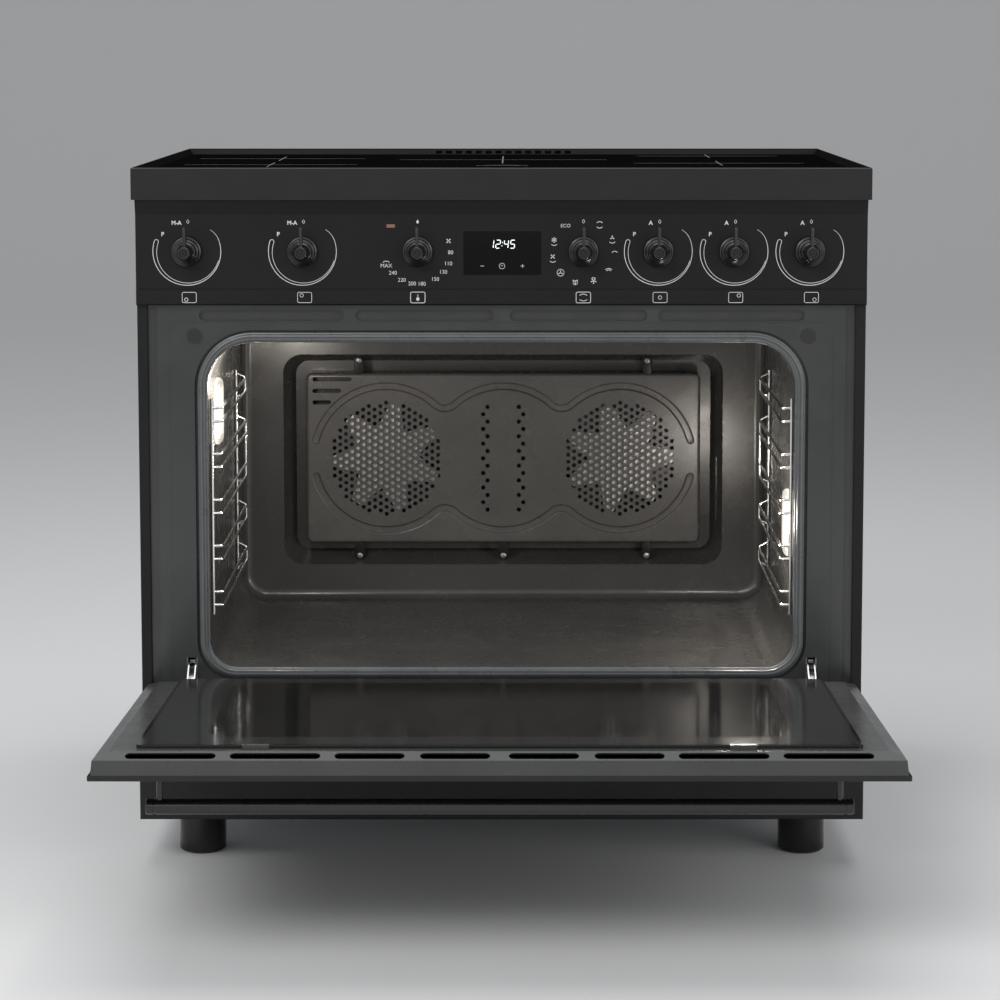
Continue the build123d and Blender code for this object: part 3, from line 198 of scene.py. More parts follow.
def clear_glass(name, tint, rough=0.02):
    made = new_material(name, tint, rough)
    shader = shader_of(made)
    shader.inputs["Transmission Weight"].default_value = 1.0
    shader.inputs["IOR"].default_value = 1.5
    vary_rough(made, noise(made, 12.0), rough, rough + 0.02)
    return made


def lit(made, color, strength):
    """Adds a glow to a material."""
    shader = shader_of(made)
    shader.inputs["Emission Color"].default_value = (*color, 1)
    shader.inputs["Emission Strength"].default_value = strength
    return made


BLACK = (0.0075, 0.0075, 0.008)
HOB_BLACK = (0.003, 0.003, 0.0032)
WARM = (1.0, 0.92, 0.82)
COOL = (0.9, 1.0, 1.0)
looks = {
    "hob_enamel": dull_at_a_glance(enamel("hob_enamel", BLACK, 0.42), 0.35),
    "hob_glass": dull_at_a_glance(glossy_glass("hob_glass", HOB_BLACK, 0.06), 0.5),
    "panel_enamel": enamel("panel_enamel", BLACK, 0.48, specular=0.2),
    "side_enamel": enamel("side_enamel", BLACK, 0.4, specular=0.25),
    "drawer_enamel": enamel("drawer_enamel", BLACK, 0.48, specular=0.36),
    "door_enamel": enamel("door_enamel", BLACK, 0.48),
    "pan_enamel": enamel("pan_enamel", (0.043, 0.044, 0.044), 0.28, specular=0.5),
    "frame_enamel": enamel("frame_enamel", (0.03, 0.031, 0.031), 0.22, specular=0.7),
    "cavity_enamel": enamel("cavity_enamel", (0.056, 0.0548, 0.053), 0.26),
    "baffle_enamel": enamel("baffle_enamel", (0.105, 0.101, 0.097), 0.27),
    "zinc_sheet": sheet_metal("zinc_sheet", (0.5, 0.51, 0.52), 0.42, (1, 1, 1)),
    "carrier_plastic": plastic("carrier_plastic", (0.3, 0.25, 0.2), 0.6),
    "coil_copper": sheet_metal("coil_copper", (0.6, 0.28, 0.14), 0.4),
    "board_green": plastic("board_green", (0.02, 0.12, 0.05), 0.5),
    "display_glass": glossy_glass("display_glass", (0.002, 0.002, 0.0022), 0.08, 0.25),
    "switch_plastic": plastic("switch_plastic", (0.03, 0.03, 0.03), 0.5),
    "lamp_lens": plastic("lamp_lens", (0.28, 0.13, 0.09), 0.3),
    "foot_plastic": plastic("foot_plastic", (0.006, 0.006, 0.0065), 0.14),
    "gasket_rubber": plastic("gasket_rubber", (0.11, 0.115, 0.12), 0.3),
    "buffer_rubber": plastic("buffer_rubber", (0.012, 0.012, 0.012), 0.4),
    "insulation_wool": plastic("insulation_wool", (0.6, 0.56, 0.4), 0.9, 0.001),
    "heater_steel": sheet_metal("heater_steel", (0.3, 0.28, 0.26), 0.4),
    "steel": sheet_metal("steel", (0.6, 0.6, 0.6), 0.25),
    "motor_metal": sheet_metal("motor_metal", (0.5, 0.5, 0.5), 0.45),
    "lamp_glass": lit(clear_glass("lamp_glass", (1.0, 0.97, 0.9), 0.03), WARM, 0.5),
    "lamp_ceramic": plastic("lamp_ceramic", (0.75, 0.73, 0.7), 0.4),
    "bulb_glass": lit(plastic("bulb_glass", (1.0, 0.9, 0.7), 0.3), WARM, 30.0),
    "rack_chrome": sheet_metal("rack_chrome", (0.86, 0.85, 0.82), 0.14),
    "fan_steel": sheet_metal("fan_steel", (0.92, 0.91, 0.89), 0.4, metal=0.15),
    "knob_metal": enamel("knob_metal", (0.0035, 0.0035, 0.004), 0.34, specular=0.65),
    "oven_glass": glossy_glass("oven_glass", (0.008, 0.0083, 0.0083), 0.08, 0.42),
    "middle_glass": clear_glass("middle_glass", (0.8, 0.85, 0.83)),
    "outer_glass": clear_glass("outer_glass", (0.05, 0.05, 0.05)),
    "handle_metal": enamel("handle_metal", BLACK, 0.26, specular=0.6),
    "white_print": plastic("white_print", (0.66, 0.66, 0.65), 0.5),
    "border_print": glossy_glass("border_print", (0.022, 0.0225, 0.0225), 0.12),
    "hob_print": plastic("hob_print", (0.17, 0.17, 0.17), 0.5),
    "display_light": lit(plastic("display_light", (0.8, 0.85, 0.85), 0.5), COOL, 0.8),
    "key_light": lit(plastic("key_light", (0.3, 0.32, 0.32), 0.5), COOL, 0.15),
}

for row in frame["record"]["subparts"]:
    shown = nodes[row["node"]]
    shown.data.materials.clear()
    shown.data.materials.append(looks[row["material_slot"]])


# Outlines, as points of a plane

def dial_arc(x, z, radius, start, end, step=6.0):
    """Points along an arc, with its angles in degrees clockwise from the top."""
    count = max(2, math.ceil(abs(end - start) / step))
    points = []
    for i in range(count + 1):
        turn = math.radians(start + (end - start) * i / count)
        points.append((x + radius * math.sin(turn), z + radius * math.cos(turn)))
    return points


def rounded(half_x, z_low, z_high, low_radius, high_radius, x=0.0, step=9.0):
    """A rounded rectangle, clockwise from its upper right corner, always with as many points."""
    right, left = x + half_x, x - half_x
    points = dial_arc(right - high_radius, z_high - high_radius, high_radius, 0, 90, step)
    points += dial_arc(right - low_radius, z_low + low_radius, low_radius, 90, 180, step)
    points += dial_arc(left + low_radius, z_low + low_radius, low_radius, 180, 270, step)
    return points + dial_arc(left + high_radius, z_high - high_radius, high_radius, 270, 360, step)


def disc(x, z, radius, sides):
    return dial_arc(x, z, radius, 0, 360, 360 / sides)[:-1]


def stadium(x_low, x_high, z, radius):
    right = dial_arc(x_high - radius, z, radius, 0, 180, 30)
    left = dial_arc(x_low + radius, z, radius, 180, 360, 30)
    return right + left


# Mesh building

SEAM = 0.005
BEND_STEPS = 4
INK_THICK = 0.12


def upright(y):
    """Places the points of an outline in a plane across the depth."""
    return lambda x, z: Vector((x, y, z)) * MM


def flat(z):
    """Places the points of an outline in a level plane."""
    return lambda x, y: Vector((x, y, z)) * MM


def add_ring(bm, place, points):
    return [bm.verts.new(place(*point)) for point in points]


def bridge(bm, first, second, closed=True):
    """Joins two rings of the same count, or a ring and a single point."""
    count = max(len(first), len(second))
    for i in range(count if closed else count - 1):
        j = (i + 1) % count
        if len(first) == 1:
            bm.faces.new((first[0], second[j], second[i]))
        elif len(second) == 1:
            bm.faces.new((first[i], first[j], second[0]))
        else:
            bm.faces.new((first[i], first[j], second[j], second[i]))


def fill(bm, loops):
    """Fills the area inside the first loop and outside the others."""
    edges = []
    for loop in loops:
        for a, b in zip(loop, loop[1:] + loop[:1]):
            edges.append(bm.edges.get((a, b)) or bm.edges.new((a, b)))
    bmesh.ops.triangle_fill(bm, use_beauty=True, edges=edges, normal=(0, -1, 0))


def slab(bm, points, front, back, round_edge=0.0):
    """A plate across the depth, closed, with its front edge rounded if asked."""
    centre_x = sum(p[0] for p in points) / len(points)
    centre_z = sum(p[1] for p in points) / len(points)
    half_x = max(abs(p[0] - centre_x) for p in points)
    half_z = max(abs(p[1] - centre_z) for p in points)

    def shrunk(inset):
        kx, kz = 1 - inset / half_x, 1 - inset / half_z
        return [(centre_x + (x - centre_x) * kx, centre_z + (z - centre_z) * kz) for x, z in points]

    rings = [add_ring(bm, upright(back), points)]
    turns = (0, 30, 60, 90) if round_edge else (90,)
    for turn in turns:
        inset = round_edge * (1 - math.cos(math.radians(turn)))
        y = front + round_edge * (1 - math.sin(math.radians(turn)))
        rings.append(add_ring(bm, upright(y), shrunk(inset)))
    for a, b in zip(rings, rings[1:]):
        bridge(bm, a, b)
    bm.faces.new(rings[0])
    bm.faces.new(rings[-1])


def lathe(bm, centre, profile, sides):
    """Turns a profile of radius and depth round an axis along Y."""
    rings = []
    for radius, y in profile:
        points = disc(centre[0], centre[1], radius, sides) if radius else [centre]
        rings.append(add_ring(bm, upright(y), points))
    for a, b in zip(rings, rings[1:]):
        bridge(bm, a, b)


def stroke(bm, place, points, width, closed=False):
    """A flat line through points, of one width or of a width for each point."""
    widths = width if isinstance(width, list) else [width] * len(points)
    sides = []
    for i, (u, v) in enumerate(points):
        before = points[i - 1] if i or closed else points[i]
        after = points[(i + 1) % len(points)] if i < len(points) - 1 or closed else points[i]
        way = Vector((after[0] - before[0], after[1] - before[1])).normalized() * widths[i] / 2
        sides.append((bm.verts.new(place(u - way.y, v + way.x)), bm.verts.new(place(u + way.y, v - way.x))))
    ends = sides[1:] + sides[:1] if closed else sides[1:]
    for (a, b), (c, d) in zip(sides, ends):
        bm.faces.new((a, b, d, c))


def letters(bm, place, words, u, v, size, weight=0.0):
    """Printed words, centred on a point, in the plain built-in typeface."""
    text = bpy.data.curves.new("letters", "FONT")
    text.body = words
    text.size = size
    text.align_x = "CENTER"
    text.align_y = "CENTER"
    text.offset = weight
    holder = bpy.data.objects.new("letters", text)
    mesh = bpy.data.meshes.new_from_object(holder)
    verts = [bm.verts.new(place(u + vert.co.x, v + vert.co.y)) for vert in mesh.vertices]
    for polygon in mesh.polygons:
        bm.faces.new([verts[i] for i in polygon.vertices])
    bpy.data.objects.remove(holder)
    bpy.data.meshes.remove(mesh)


def tube(curve, points, radius=0.0):
    """Adds a bent round wire to a curve, with its corners eased to a radius."""
    route = [Vector(points[0])]
    for before, corner, after in zip(points, points[1:], points[2:]):
        before, corner, after = Vector(before), Vector(corner), Vector(after)
        start = corner + (before - corner).normalized() * radius
        end = corner + (after - corner).normalized() * radius
        for i in range(BEND_STEPS + 1):
            t = i / BEND_STEPS
            route.append(start * (1 - t) ** 2 + corner * 2 * t * (1 - t) + end * t ** 2)
    route.append(Vector(points[-1]))
    spline = curve.splines.new("POLY")
    spline.points.add(len(route) - 1)
    for spot, place in zip(spline.points, route):
        spot.co = (*(place * MM), 1)


def settle(name, mesh, look, body, replaced=(), sharp=35.0):
    """Turns a mesh into a piece that rides on a body and stands for the CAD nodes it replaces."""
    mesh.name = name
    mesh.materials.clear()
    mesh.materials.append(looks[look])
    mesh.polygons.foreach_set("use_smooth", [True] * len(mesh.polygons))
    mesh.set_sharp_from_angle(angle=math.radians(sharp))
    made = bpy.data.objects.new(name, mesh)
    bpy.context.scene.collection.objects.link(made)
    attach(made, body)
    if replaced:
        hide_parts(*replaced)
    return made


def finish_mesh(bm):
    """Closes the seams of a built mesh and turns its faces outwards."""
    bmesh.ops.remove_doubles(bm, verts=bm.verts, dist=SEAM * MM)
    bmesh.ops.recalc_face_normals(bm, faces=bm.faces)
    mesh = bpy.data.meshes.new("built")
    bm.to_mesh(mesh)
    bm.free()
    return mesh


def sharpen_rims(mesh):
    """Keeps the rims of holes crisp once a sheet has its thickness."""
    bm = bmesh.new()
    bm.from_mesh(mesh)
    for edge in bm.edges:
        edge.smooth = edge.smooth and not edge.is_boundary
    bm.to_mesh(mesh)
    bm.free()


def thicken(made, thickness, offset):
    solid = made.modifiers.new("thickness", "SOLIDIFY")
    solid.thickness = thickness * MM
    solid.offset = offset
    return made


def settle_print(name, bm, look, body):
    """A print: flat lines and letters given the thickness of a coat of ink."""
    mesh = bpy.data.meshes.new(name)
    bm.to_mesh(mesh)
    bm.free()
    made = settle(name, mesh, look, body)
    sharpen_rims(made.data)
    return thicken(made, INK_THICK, 0.0)


# Fan baffle: perforated fields, the pressed groove, zigzag holes and louvre slots

BAFFLE_LOW, BAFFLE_HIGH = low("fan_baffle"), high("fan_baffle")
FAN_X = axis("fan_right_spin").x
FAN_Z = axis("fan_right_spin").z
EAR_LENGTH = 23.0
BAFFLE_HALF = BAFFLE_HIGH.x
BAFFLE_HALF_HEIGHT = (BAFFLE_HIGH.z - BAFFLE_LOW.z) / 2 - EAR_LENGTH
BAFFLE_FRONT = BAFFLE_LOW.y
BAFFLE_BACK = BAFFLE_HIGH.y
BAFFLE_CORNER = 9.0
BAFFLE_BEND = 4.5
BAFFLE_SHEET = 1.2
FIELD_RADIUS = 79.3
COLUMN_PITCH = 8.0
HOLE_PITCH = 9.76
HOLE_RADIUS = 2.95
HOLE_SIDES = 10
LOBE_RADIUS = 101.0
WAIST_HALF = 69.9
GROOVE_END = 25.5
# Half of the groove's section: distance from its middle line, and depth
GROOVE_SECTION = ((5.8, 0.0), (5.0, 0.35), (4.2, 1.5), (3.4, 2.2), (0.0, 2.4))
# Degrees round each rounded end of the groove at which a section stands
END_TURNS = (30, 55, 75)
CHAIN_X = 24.8
CHAIN_SHIFT = 3.0
CHAIN_COUNT = 15
CHAIN_PITCH = 10.3
CHAIN_RADIUS = 3.1
LOUVRES = (54.5, 40.0, 25.9)
LOUVRE_INSET = 9.2
LOUVRE_DROP = 8.2
LOUVRE_PITCH = 16.2
LOUVRE_RADIUS = 2.9


def grille_field(x):
    """Centres of the holes in front of a fan: columns that are offset by half a pitch in turn."""
    centres = []
    columns = int(FIELD_RADIUS / COLUMN_PITCH)
    rows = int(2 * FIELD_RADIUS / HOLE_PITCH)
    for column in range(-columns, columns + 1):
        for row in range(-rows, rows + 1):
            dx, dz = column * COLUMN_PITCH, row * HOLE_PITCH / 2
            if (row + column) % 2 == 0 and math.hypot(dx, dz) < FIELD_RADIUS:
                centres.append((x + dx, FAN_Z + dz))
    return centres


def chain_centres():
    """Two zigzag columns; the top hole of each is on the side of the middle."""
    centres = []
    for side in (-1, 1):
        for i in range(CHAIN_COUNT):
            shift = CHAIN_SHIFT if i % 2 else -CHAIN_SHIFT
            z = FAN_Z + (i - (CHAIN_COUNT - 1) / 2) * CHAIN_PITCH
            centres.append((side * (CHAIN_X + shift), z))
    return centres


def louvre_outlines():
    outlines = []
    for i, length in enumerate(LOUVRES):
        x = -BAFFLE_HALF + LOUVRE_INSET
        z = FAN_Z + BAFFLE_HALF_HEIGHT - LOUVRE_DROP - LOUVRE_PITCH * i
        outlines.append(stadium(x, x + length, z, LOUVRE_RADIUS))
    return outlines


def groove_path(side):
    """The middle line of the groove from far left to far right, above or below the fans."""
    half = FAN_X / 2
    blend = (half ** 2 + WAIST_HALF ** 2 - LOBE_RADIUS ** 2) / (2 * (LOBE_RADIUS - WAIST_HALF))
    rise = WAIST_HALF + blend
    meet = math.degrees(math.atan2(half, rise))
    start = -90 + math.degrees(math.asin(GROOVE_END / LOBE_RADIUS))
    path = dial_arc(-FAN_X, 0, LOBE_RADIUS, start, meet, 3.0)
    path += dial_arc(-half, rise, blend, 180 + meet, 180 - meet, 8.0)[1:]
    path += dial_arc(0, 0, LOBE_RADIUS, -meet, 0, 3.0)[1:]
    path += [(-x, z) for x, z in reversed(path[:-1])]
    return [(x, FAN_Z + side * z) for x, z in path]


def groove(bm, side):
    """Builds one groove, rounded off at both ends, and returns the edge that the flat sheet meets."""
    path = [Vector(point) for point in groove_path(side)]
    stations = []
    for i, point in enumerate(path):
        way = (path[min(i + 1, len(path) - 1)] - path[max(i - 1, 0)]).normalized()
        stations.append((point, way, 1.0))
    width = GROOVE_SECTION[0][0]
    start_way, end_way = stations[0][1], stations[-1][1]
    for turn in END_TURNS:
        reach = width * math.sin(math.radians(turn))
        share = math.cos(math.radians(turn))
        stations.insert(0, (path[0] - start_way * reach, start_way, share))
        stations.append((path[-1] + end_way * reach, end_way, share))
    offsets = [(o, d) for o, d in GROOVE_SECTION] + [(-o, d) for o, d in GROOVE_SECTION[-2::-1]]
    rows = []
    for point, way, share in stations:
        row = []
        for offset, depth in offsets:
            x, z = point.x - way.y * offset * share, point.y + way.x * offset * share
            row.append(bm.verts.new(upright(BAFFLE_FRONT + depth * share)(x, z)))
        rows.append(row)
    for a, b in zip(rows, rows[1:]):
        bridge(bm, a, b, closed=False)
    bm.faces.new(rows[0])
    bm.faces.new(rows[-1])
    return [row[0] for row in rows] + [row[-1] for row in reversed(rows)]


def baffle_edge(inset):
    half = BAFFLE_HALF_HEIGHT - inset
    corner = BAFFLE_CORNER - inset
    return rounded(BAFFLE_HALF - inset, FAN_Z - half, FAN_Z + half, corner, corner)


def add_baffle():
    bm = bmesh.new()
    front = upright(BAFFLE_FRONT)
    rings = []
    for turn in range(0, 91, 9):
        inset = BAFFLE_BEND * (1 - math.sin(math.radians(turn)))
        y = BAFFLE_FRONT + BAFFLE_BEND * (1 - math.cos(math.radians(turn)))
        rings.append(add_ring(bm, upright(y), baffle_edge(inset)))
    rings.append(add_ring(bm, upright(BAFFLE_BACK), baffle_edge(0)))
    for a, b in zip(rings, rings[1:]):
        bridge(bm, a, b)
    loops = [rings[0], groove(bm, 1), groove(bm, -1)]
    for x, z in grille_field(-FAN_X) + grille_field(FAN_X):
        loops.append(add_ring(bm, front, disc(x, z, HOLE_RADIUS, HOLE_SIDES)))
    for x, z in chain_centres():
        loops.append(add_ring(bm, front, disc(x, z, CHAIN_RADIUS, HOLE_SIDES)))
    for outline in louvre_outlines():
        loops.append(add_ring(bm, front, outline))
    fill(bm, loops)
    made = settle("baffle_sheet", finish_mesh(bm), "baffle_enamel", "cabinet", ("fan_baffle",), 14.0)
    sharpen_rims(made.data)
    thicken(made, BAFFLE_SHEET, -1.0)


# Ears of the baffle, and the domed screws through them

EAR_SHIFT = 74.0
EAR_HALF = 6.5
EAR_CORNER = 5.0
EAR_FRONT = 0.1
EAR_BACK = 1.5
EAR_EDGE = 0.6
SCREW_INSET = 5.0
SCREW_RADIUS = 4.5
# Radius, and depth behind the top of the dome
SCREW_DOME = ((4.5, 1.6), (3.9, 0.7), (2.6, 0.2), (1.3, 0.0), (0.9, 0.8), (0, 0.9))


def ear_places():
    """Where the ears stand, across, and whether above or below the baffle."""
    outer = BAFFLE_HALF - EAR_SHIFT
    return ((-outer, 1), (outer, 1), (-outer, -1), (0, -1), (outer, -1))


def add_ears():
    bm = bmesh.new()
    for x, side in ear_places():
        root = FAN_Z + side * (BAFFLE_HALF_HEIGHT - 1)
        tip = FAN_Z + side * (BAFFLE_HALF_HEIGHT + EAR_LENGTH)
        outline = rounded(EAR_HALF, min(root, tip), max(root, tip), EAR_CORNER, EAR_CORNER, x)
        slab(bm, outline, BAFFLE_FRONT + EAR_FRONT, BAFFLE_FRONT + EAR_BACK, EAR_EDGE)
    # The ears take the black of the side panels instead of the baffle's lighter enamel. This is painted shade:
    # they sit in the shadow between the baffle and the recess.
    settle("baffle_ears", finish_mesh(bm), "side_enamel", "cabinet")


def add_screws():
    """Domed screws with a dimple in the middle."""
    bm = bmesh.new()
    head = low("baffle_screws").y
    profile = [(SCREW_RADIUS, BAFFLE_FRONT)] + [(radius, head + depth) for radius, depth in SCREW_DOME]
    for x, side in ear_places():
        z = FAN_Z + side * (BAFFLE_HALF_HEIGHT + EAR_LENGTH - SCREW_INSET)
        lathe(bm, (x, z), profile, 16)
    settle("baffle_screw_heads", finish_mesh(bm), "heater_steel", "cabinet", ("baffle_screws",))


# Knobs

# Radius, and height above the base, from the base's middle out and round to the boss's middle
KNOB_PROFILE = ((0, 0), (18.5, 0), (18.5, 5.5), (17.9, 6.9), (16.2, 8.0), (15.6, 9.4), (15.2, 13.0),
                (13.4, 14.2), (12.6, 15.4), (12.2, 18.8), (10.4, 20.4), (9.5, 22.0), (8.6, 27.0),
                (7.4, 30.2), (7.4, 33.0), (6.8, 33.8), (5.4, 33.8), (4.8, 31.6), (3.4, 31.6),
                (2.8, 33.4), (1.9, 33.4), (1.3, 31.2), (0, 31.2))
KNOB_SIDES = 64
KNOB_GAP = 0.5
LEVER_FRONT = 30.0
LEVER_HALF = 1.9
LEVER_FOOT = 6.0
LEVER_TIP = 31.0
LEVER_THICK = 7.0
LEVER_LOW_CORNER = 0.8
LEVER_HIGH_CORNER = 1.8
LEVER_EDGE = 0.7
WEB_HALF = 1.7
WEB_FOOT = 5.0
WEB_TIP = 17.5
WEB_OVERLAP = 1.0
WEB_BASE = 7.0
WEB_LOW_CORNER = 0.6
WEB_HIGH_CORNER = 1.0
DOT_RISE = 28.4
# Radius, and depth behind the front of the lever
DOT_PROFILE = ((0, -0.1), (0.7, -0.1), (1.0, 0.2), (1.0, 1.0))


def add_knob(name):
    """A stepped knob with a ringed boss in its middle and a pointer lever."""
    spot = axis(name + "_turn")
    base = PANEL_FRONT - KNOB_GAP
    bm = bmesh.new()
    lathe(bm, (spot.x, spot.z), [(radius, base - rise) for radius, rise in KNOB_PROFILE], KNOB_SIDES)
    front = base - LEVER_FRONT
    lever = rounded(LEVER_HALF, spot.z + LEVER_FOOT, spot.z + LEVER_TIP,
                    LEVER_LOW_CORNER, LEVER_HIGH_CORNER, spot.x, 22.5)
    slab(bm, lever, front, front + LEVER_THICK, LEVER_EDGE)
    web = rounded(WEB_HALF, spot.z + WEB_FOOT, spot.z + WEB_TIP,
                  WEB_LOW_CORNER, WEB_HIGH_CORNER, spot.x, 30)
    slab(bm, web, front + LEVER_THICK - WEB_OVERLAP, base - WEB_BASE)
    settle(name + "_cap", finish_mesh(bm), "knob_metal", name, (name,), 28.0)
    dot = bmesh.new()
    lathe(dot, (spot.x, spot.z + DOT_RISE), [(radius, front + depth) for radius, depth in DOT_PROFILE], 12)
    settle(name + "_dot", finish_mesh(dot), "switch_plastic", name)


# Ring seal round the oven mouth, with two ridges along its crown

# Distance out from the mouth, and height above the frame
SEAL_SECTION = ((0.5, 0.0), (0.5, 4.4), (1.1, 5.1), (2.7, 5.3), (3.1, 7.0), (3.7, 8.0), (5.0, 8.1),
                (5.6, 7.2), (6.2, 6.9), (6.8, 7.2), (7.4, 8.1), (9.4, 8.1), (10.2, 7.2), (10.6, 5.4),
                (12.3, 5.1), (13.0, 4.4), (13.0, 0.0))
MOUTH_LOW_CORNER = 33.0
MOUTH_HIGH_CORNER = 54.0


def mouth(grow, depth):
    """The plane and the outline of a ring round the oven mouth, larger than it by a distance."""
    seal_low, seal_high = low("door_gasket"), high("door_gasket")
    edge = SEAL_SECTION[-1][0]
    half = seal_high.x - edge + grow
    return upright(depth), rounded(half, seal_low.z + edge - grow, seal_high.z - edge + grow,
                                   MOUTH_LOW_CORNER + grow, MOUTH_HIGH_CORNER + grow, 0.0, 7.5)


def add_seal():
    bm = bmesh.new()
    base = high("door_gasket").y
    rings = [add_ring(bm, *mouth(grow, base - rise)) for grow, rise in SEAL_SECTION]
    for a, b in zip(rings, rings[1:] + rings[:1]):
        bridge(bm, a, b)
    settle("mouth_seal", finish_mesh(bm), "gasket_rubber", "cabinet", ("door_gasket",), 50.0)


# Side racks of bent wire

RAIL_WIRE = 1.9
POST_WIRE = 2.2
RACK_LEVELS = 5
RAIL_SPACING = 16.5
RAIL_END = 8.0
POST_END = 4.0
POST_CUT = 0.2
RAIL_BEND = 5.0
LOOP_BEND = 3.0
LOOP_SLOPE = 6.0
# The lowest and highest level that each loop at the rear carries
LOOPS = ((0, 0), (1, 1), (2, 3), (4, 4))


def add_rack(name):
    """Two uprights, a double rail at each level and the loops that carry the rails at the rear."""
    near, far = low(name), high(name)
    side = 1 if near.x > 0 else -1
    wall = (far.x if side > 0 else near.x) - side * POST_WIRE
    inner = (near.x if side > 0 else far.x) + side * RAIL_WIRE
    front, back = near.y + POST_WIRE, far.y - POST_WIRE
    foot, head = near.z + POST_END + RAIL_END, far.z - POST_END - RAIL_END
    pitch = (head - foot - RAIL_SPACING) / (RACK_LEVELS - 1)
    levels = [(foot + i * pitch, foot + i * pitch + RAIL_SPACING) for i in range(RACK_LEVELS)]

    rails = bpy.data.curves.new(name + "_rails", "CURVE")
    posts = bpy.data.curves.new(name + "_posts", "CURVE")
    for y in (front, back):
        tube(posts, [(wall, y, near.z + POST_CUT), (wall, y, far.z - POST_CUT)])
    for level in levels:
        for z in level:
            tube(rails, [(wall, front, z), (inner, front, z), (inner, back, z)], RAIL_BEND)
    for first, last in LOOPS:
        bottom = levels[first][0] - RAIL_END
        top = levels[last][1] + RAIL_END
        loop = [(wall, back, top), (inner, back, top - LOOP_SLOPE)]
        loop += [(inner, back, bottom + LOOP_SLOPE), (wall, back, bottom)]
        tube(rails, loop, LOOP_BEND)
    for curve, radius in ((rails, RAIL_WIRE), (posts, POST_WIRE)):
        curve.dimensions = "3D"
        curve.bevel_depth = radius * MM
        curve.bevel_resolution = 3
        curve.use_fill_caps = True
        holder = bpy.data.objects.new(curve.name, curve)
        mesh = bpy.data.meshes.new_from_object(holder)
        bpy.data.objects.remove(holder)
        settle(curve.name, mesh, "rack_chrome", "cabinet", sharp=60.0)
    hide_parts(name)


# Prints on the control panel

PRINT_LIFT = 0.04
LABEL_SIZE = 6.9
LABEL_WEIGHT = 0.2
NUMBER_SIZE = 6.6
MAX_SIZE = 6.8
ECO_SIZE = 6.0
ICON_LINE = 0.65
SYMBOL_LINE = 0.8
SCALE_RADIUS = 41.3
SCALE_START = 47.0
SCALE_END = 288.0
SCALE_OPENING = 5.0
SCALE_TIP_STEPS = 6
SCALE_TIP_CURL = 0.06
SCALE_TIP_WIDTH = 0.4
SCALE_WIDTH = 0.85
SCALE_WIDENING_STEPS = 12
SCALE_INNER_WIDTH = 0.65
SCALE_CAP_WIDTH = 0.75
POWER_KNOBS = {1: "M-A", 2: "M-A", 5: "A", 6: "A", 7: "A"}
# Degrees clockwise from the top at which each temperature stands
TEMPERATURES = {"80": 92, "110": 112, "130": 129, "150": 148,
                "180": 173, "200": 190, "220": 209, "240": 229}
TEMPERATURE_RADIUS = 40.0
MODE_RADIUS = 38.0
MODE_ZERO_RISE = 36.6
DROP_RISE = 36.2
# Places of marks, across and up from a knob's middle
ZERO_PLACE = (1.6, 36.2)
SHORT_LABEL_PLACE = (-9.3, 34.6)
LONG_LABEL_PLACE = (-12.3, 34.6)
BOOST_PLACE = (-29.2, 20.8)
MAX_PLACE = (-38.3, -17.6)
MAX_ARCH_PLACE = (-38.3, -13.4)
FAN_MARK_PLACE = (37.5, 12.8)
ICON_SHIFT = 2.4
# Icons on the trim: half their width and height
HOB_ICON_HALF = (8.6, 6.3)
OVEN_ICON_HALF = (8.8, 6.6)
ICON_CORNER = 1.8
# The zone that each knob governs, across and up from its icon's middle
ZONE_MARKS = {1: (-3.6, -2.6), 2: (-3.6, 2.6), 5: (0, 0), 6: (3.8, 2.4), 7: (3.8, -2.6)}


def beside(spot, shift):
    """The place of a mark, from a knob's middle."""
    return spot.x + shift[0], spot.z + shift[1]


def round_dial(spot, radius, angle):
    """The place of a mark at an angle clockwise from the top."""
    turn = math.radians(angle)
    return spot.x + radius * math.sin(turn), spot.z + radius * math.cos(turn)


def power_scale(bm, place, x, z):
    """A line that runs clockwise round a knob and opens into a hollow band with a round end."""
    outer = dial_arc(x, z, SCALE_RADIUS, SCALE_START, SCALE_END, 4.0)
    count = len(outer) - 1
    split = []
    for i, (u, v) in enumerate(outer):
        inward = SCALE_OPENING * i / count
        share = 1 - inward / SCALE_RADIUS
        split.append((x + (u - x) * share, z + (v - z) * share))
    for i in range(SCALE_TIP_STEPS):
        share = 1 - SCALE_TIP_CURL * (1 - i / SCALE_TIP_STEPS) ** 2
        outer[i] = (x + (outer[i][0] - x) * share, z + (outer[i][1] - z) * share)
    middle = SCALE_RADIUS - SCALE_OPENING / 2
    turn = math.radians(SCALE_END)
    end = (x + middle * math.sin(turn), z + middle * math.cos(turn))
    widening = SCALE_WIDTH - SCALE_TIP_WIDTH
    widths = [SCALE_TIP_WIDTH + widening * min(1, i / SCALE_WIDENING_STEPS) for i in range(count + 1)]
    stroke(bm, place, outer, widths)
    stroke(bm, place, split[count // 4:], SCALE_INNER_WIDTH)
    stroke(bm, place, dial_arc(*end, SCALE_OPENING / 2, SCALE_END, SCALE_END + 180, 30.0), SCALE_CAP_WIDTH)


def zero_mark(bm, place, x, z):
    stroke(bm, place, [(x, z + 2.4), (x + 1.3, z + 0.6), (x + 1.3, z - 0.6), (x, z - 2.4),
                       (x - 1.3, z - 0.6), (x - 1.3, z + 0.6)], 0.6, closed=True)


def drop_mark(bm, place, x, z, size=1.0):
    outline = [(0, 2.6), (1.5, 0.2), (1.3, -1.4), (0, -2.3), (-1.3, -1.4), (-1.5, 0.2)]
    bm.faces.new([bm.verts.new(place(x + u * size, z + v * size)) for u, v in reversed(outline)])


def arch(bm, place, x, z, half=3.4, side=1):
    """A shallow heating arc, bulging up or down."""
    points = [(x + half * t / 4, z + side * 1.6 * (1 - (t / 4) ** 2)) for t in range(-4, 5)]
    stroke(bm, place, points, SYMBOL_LINE)


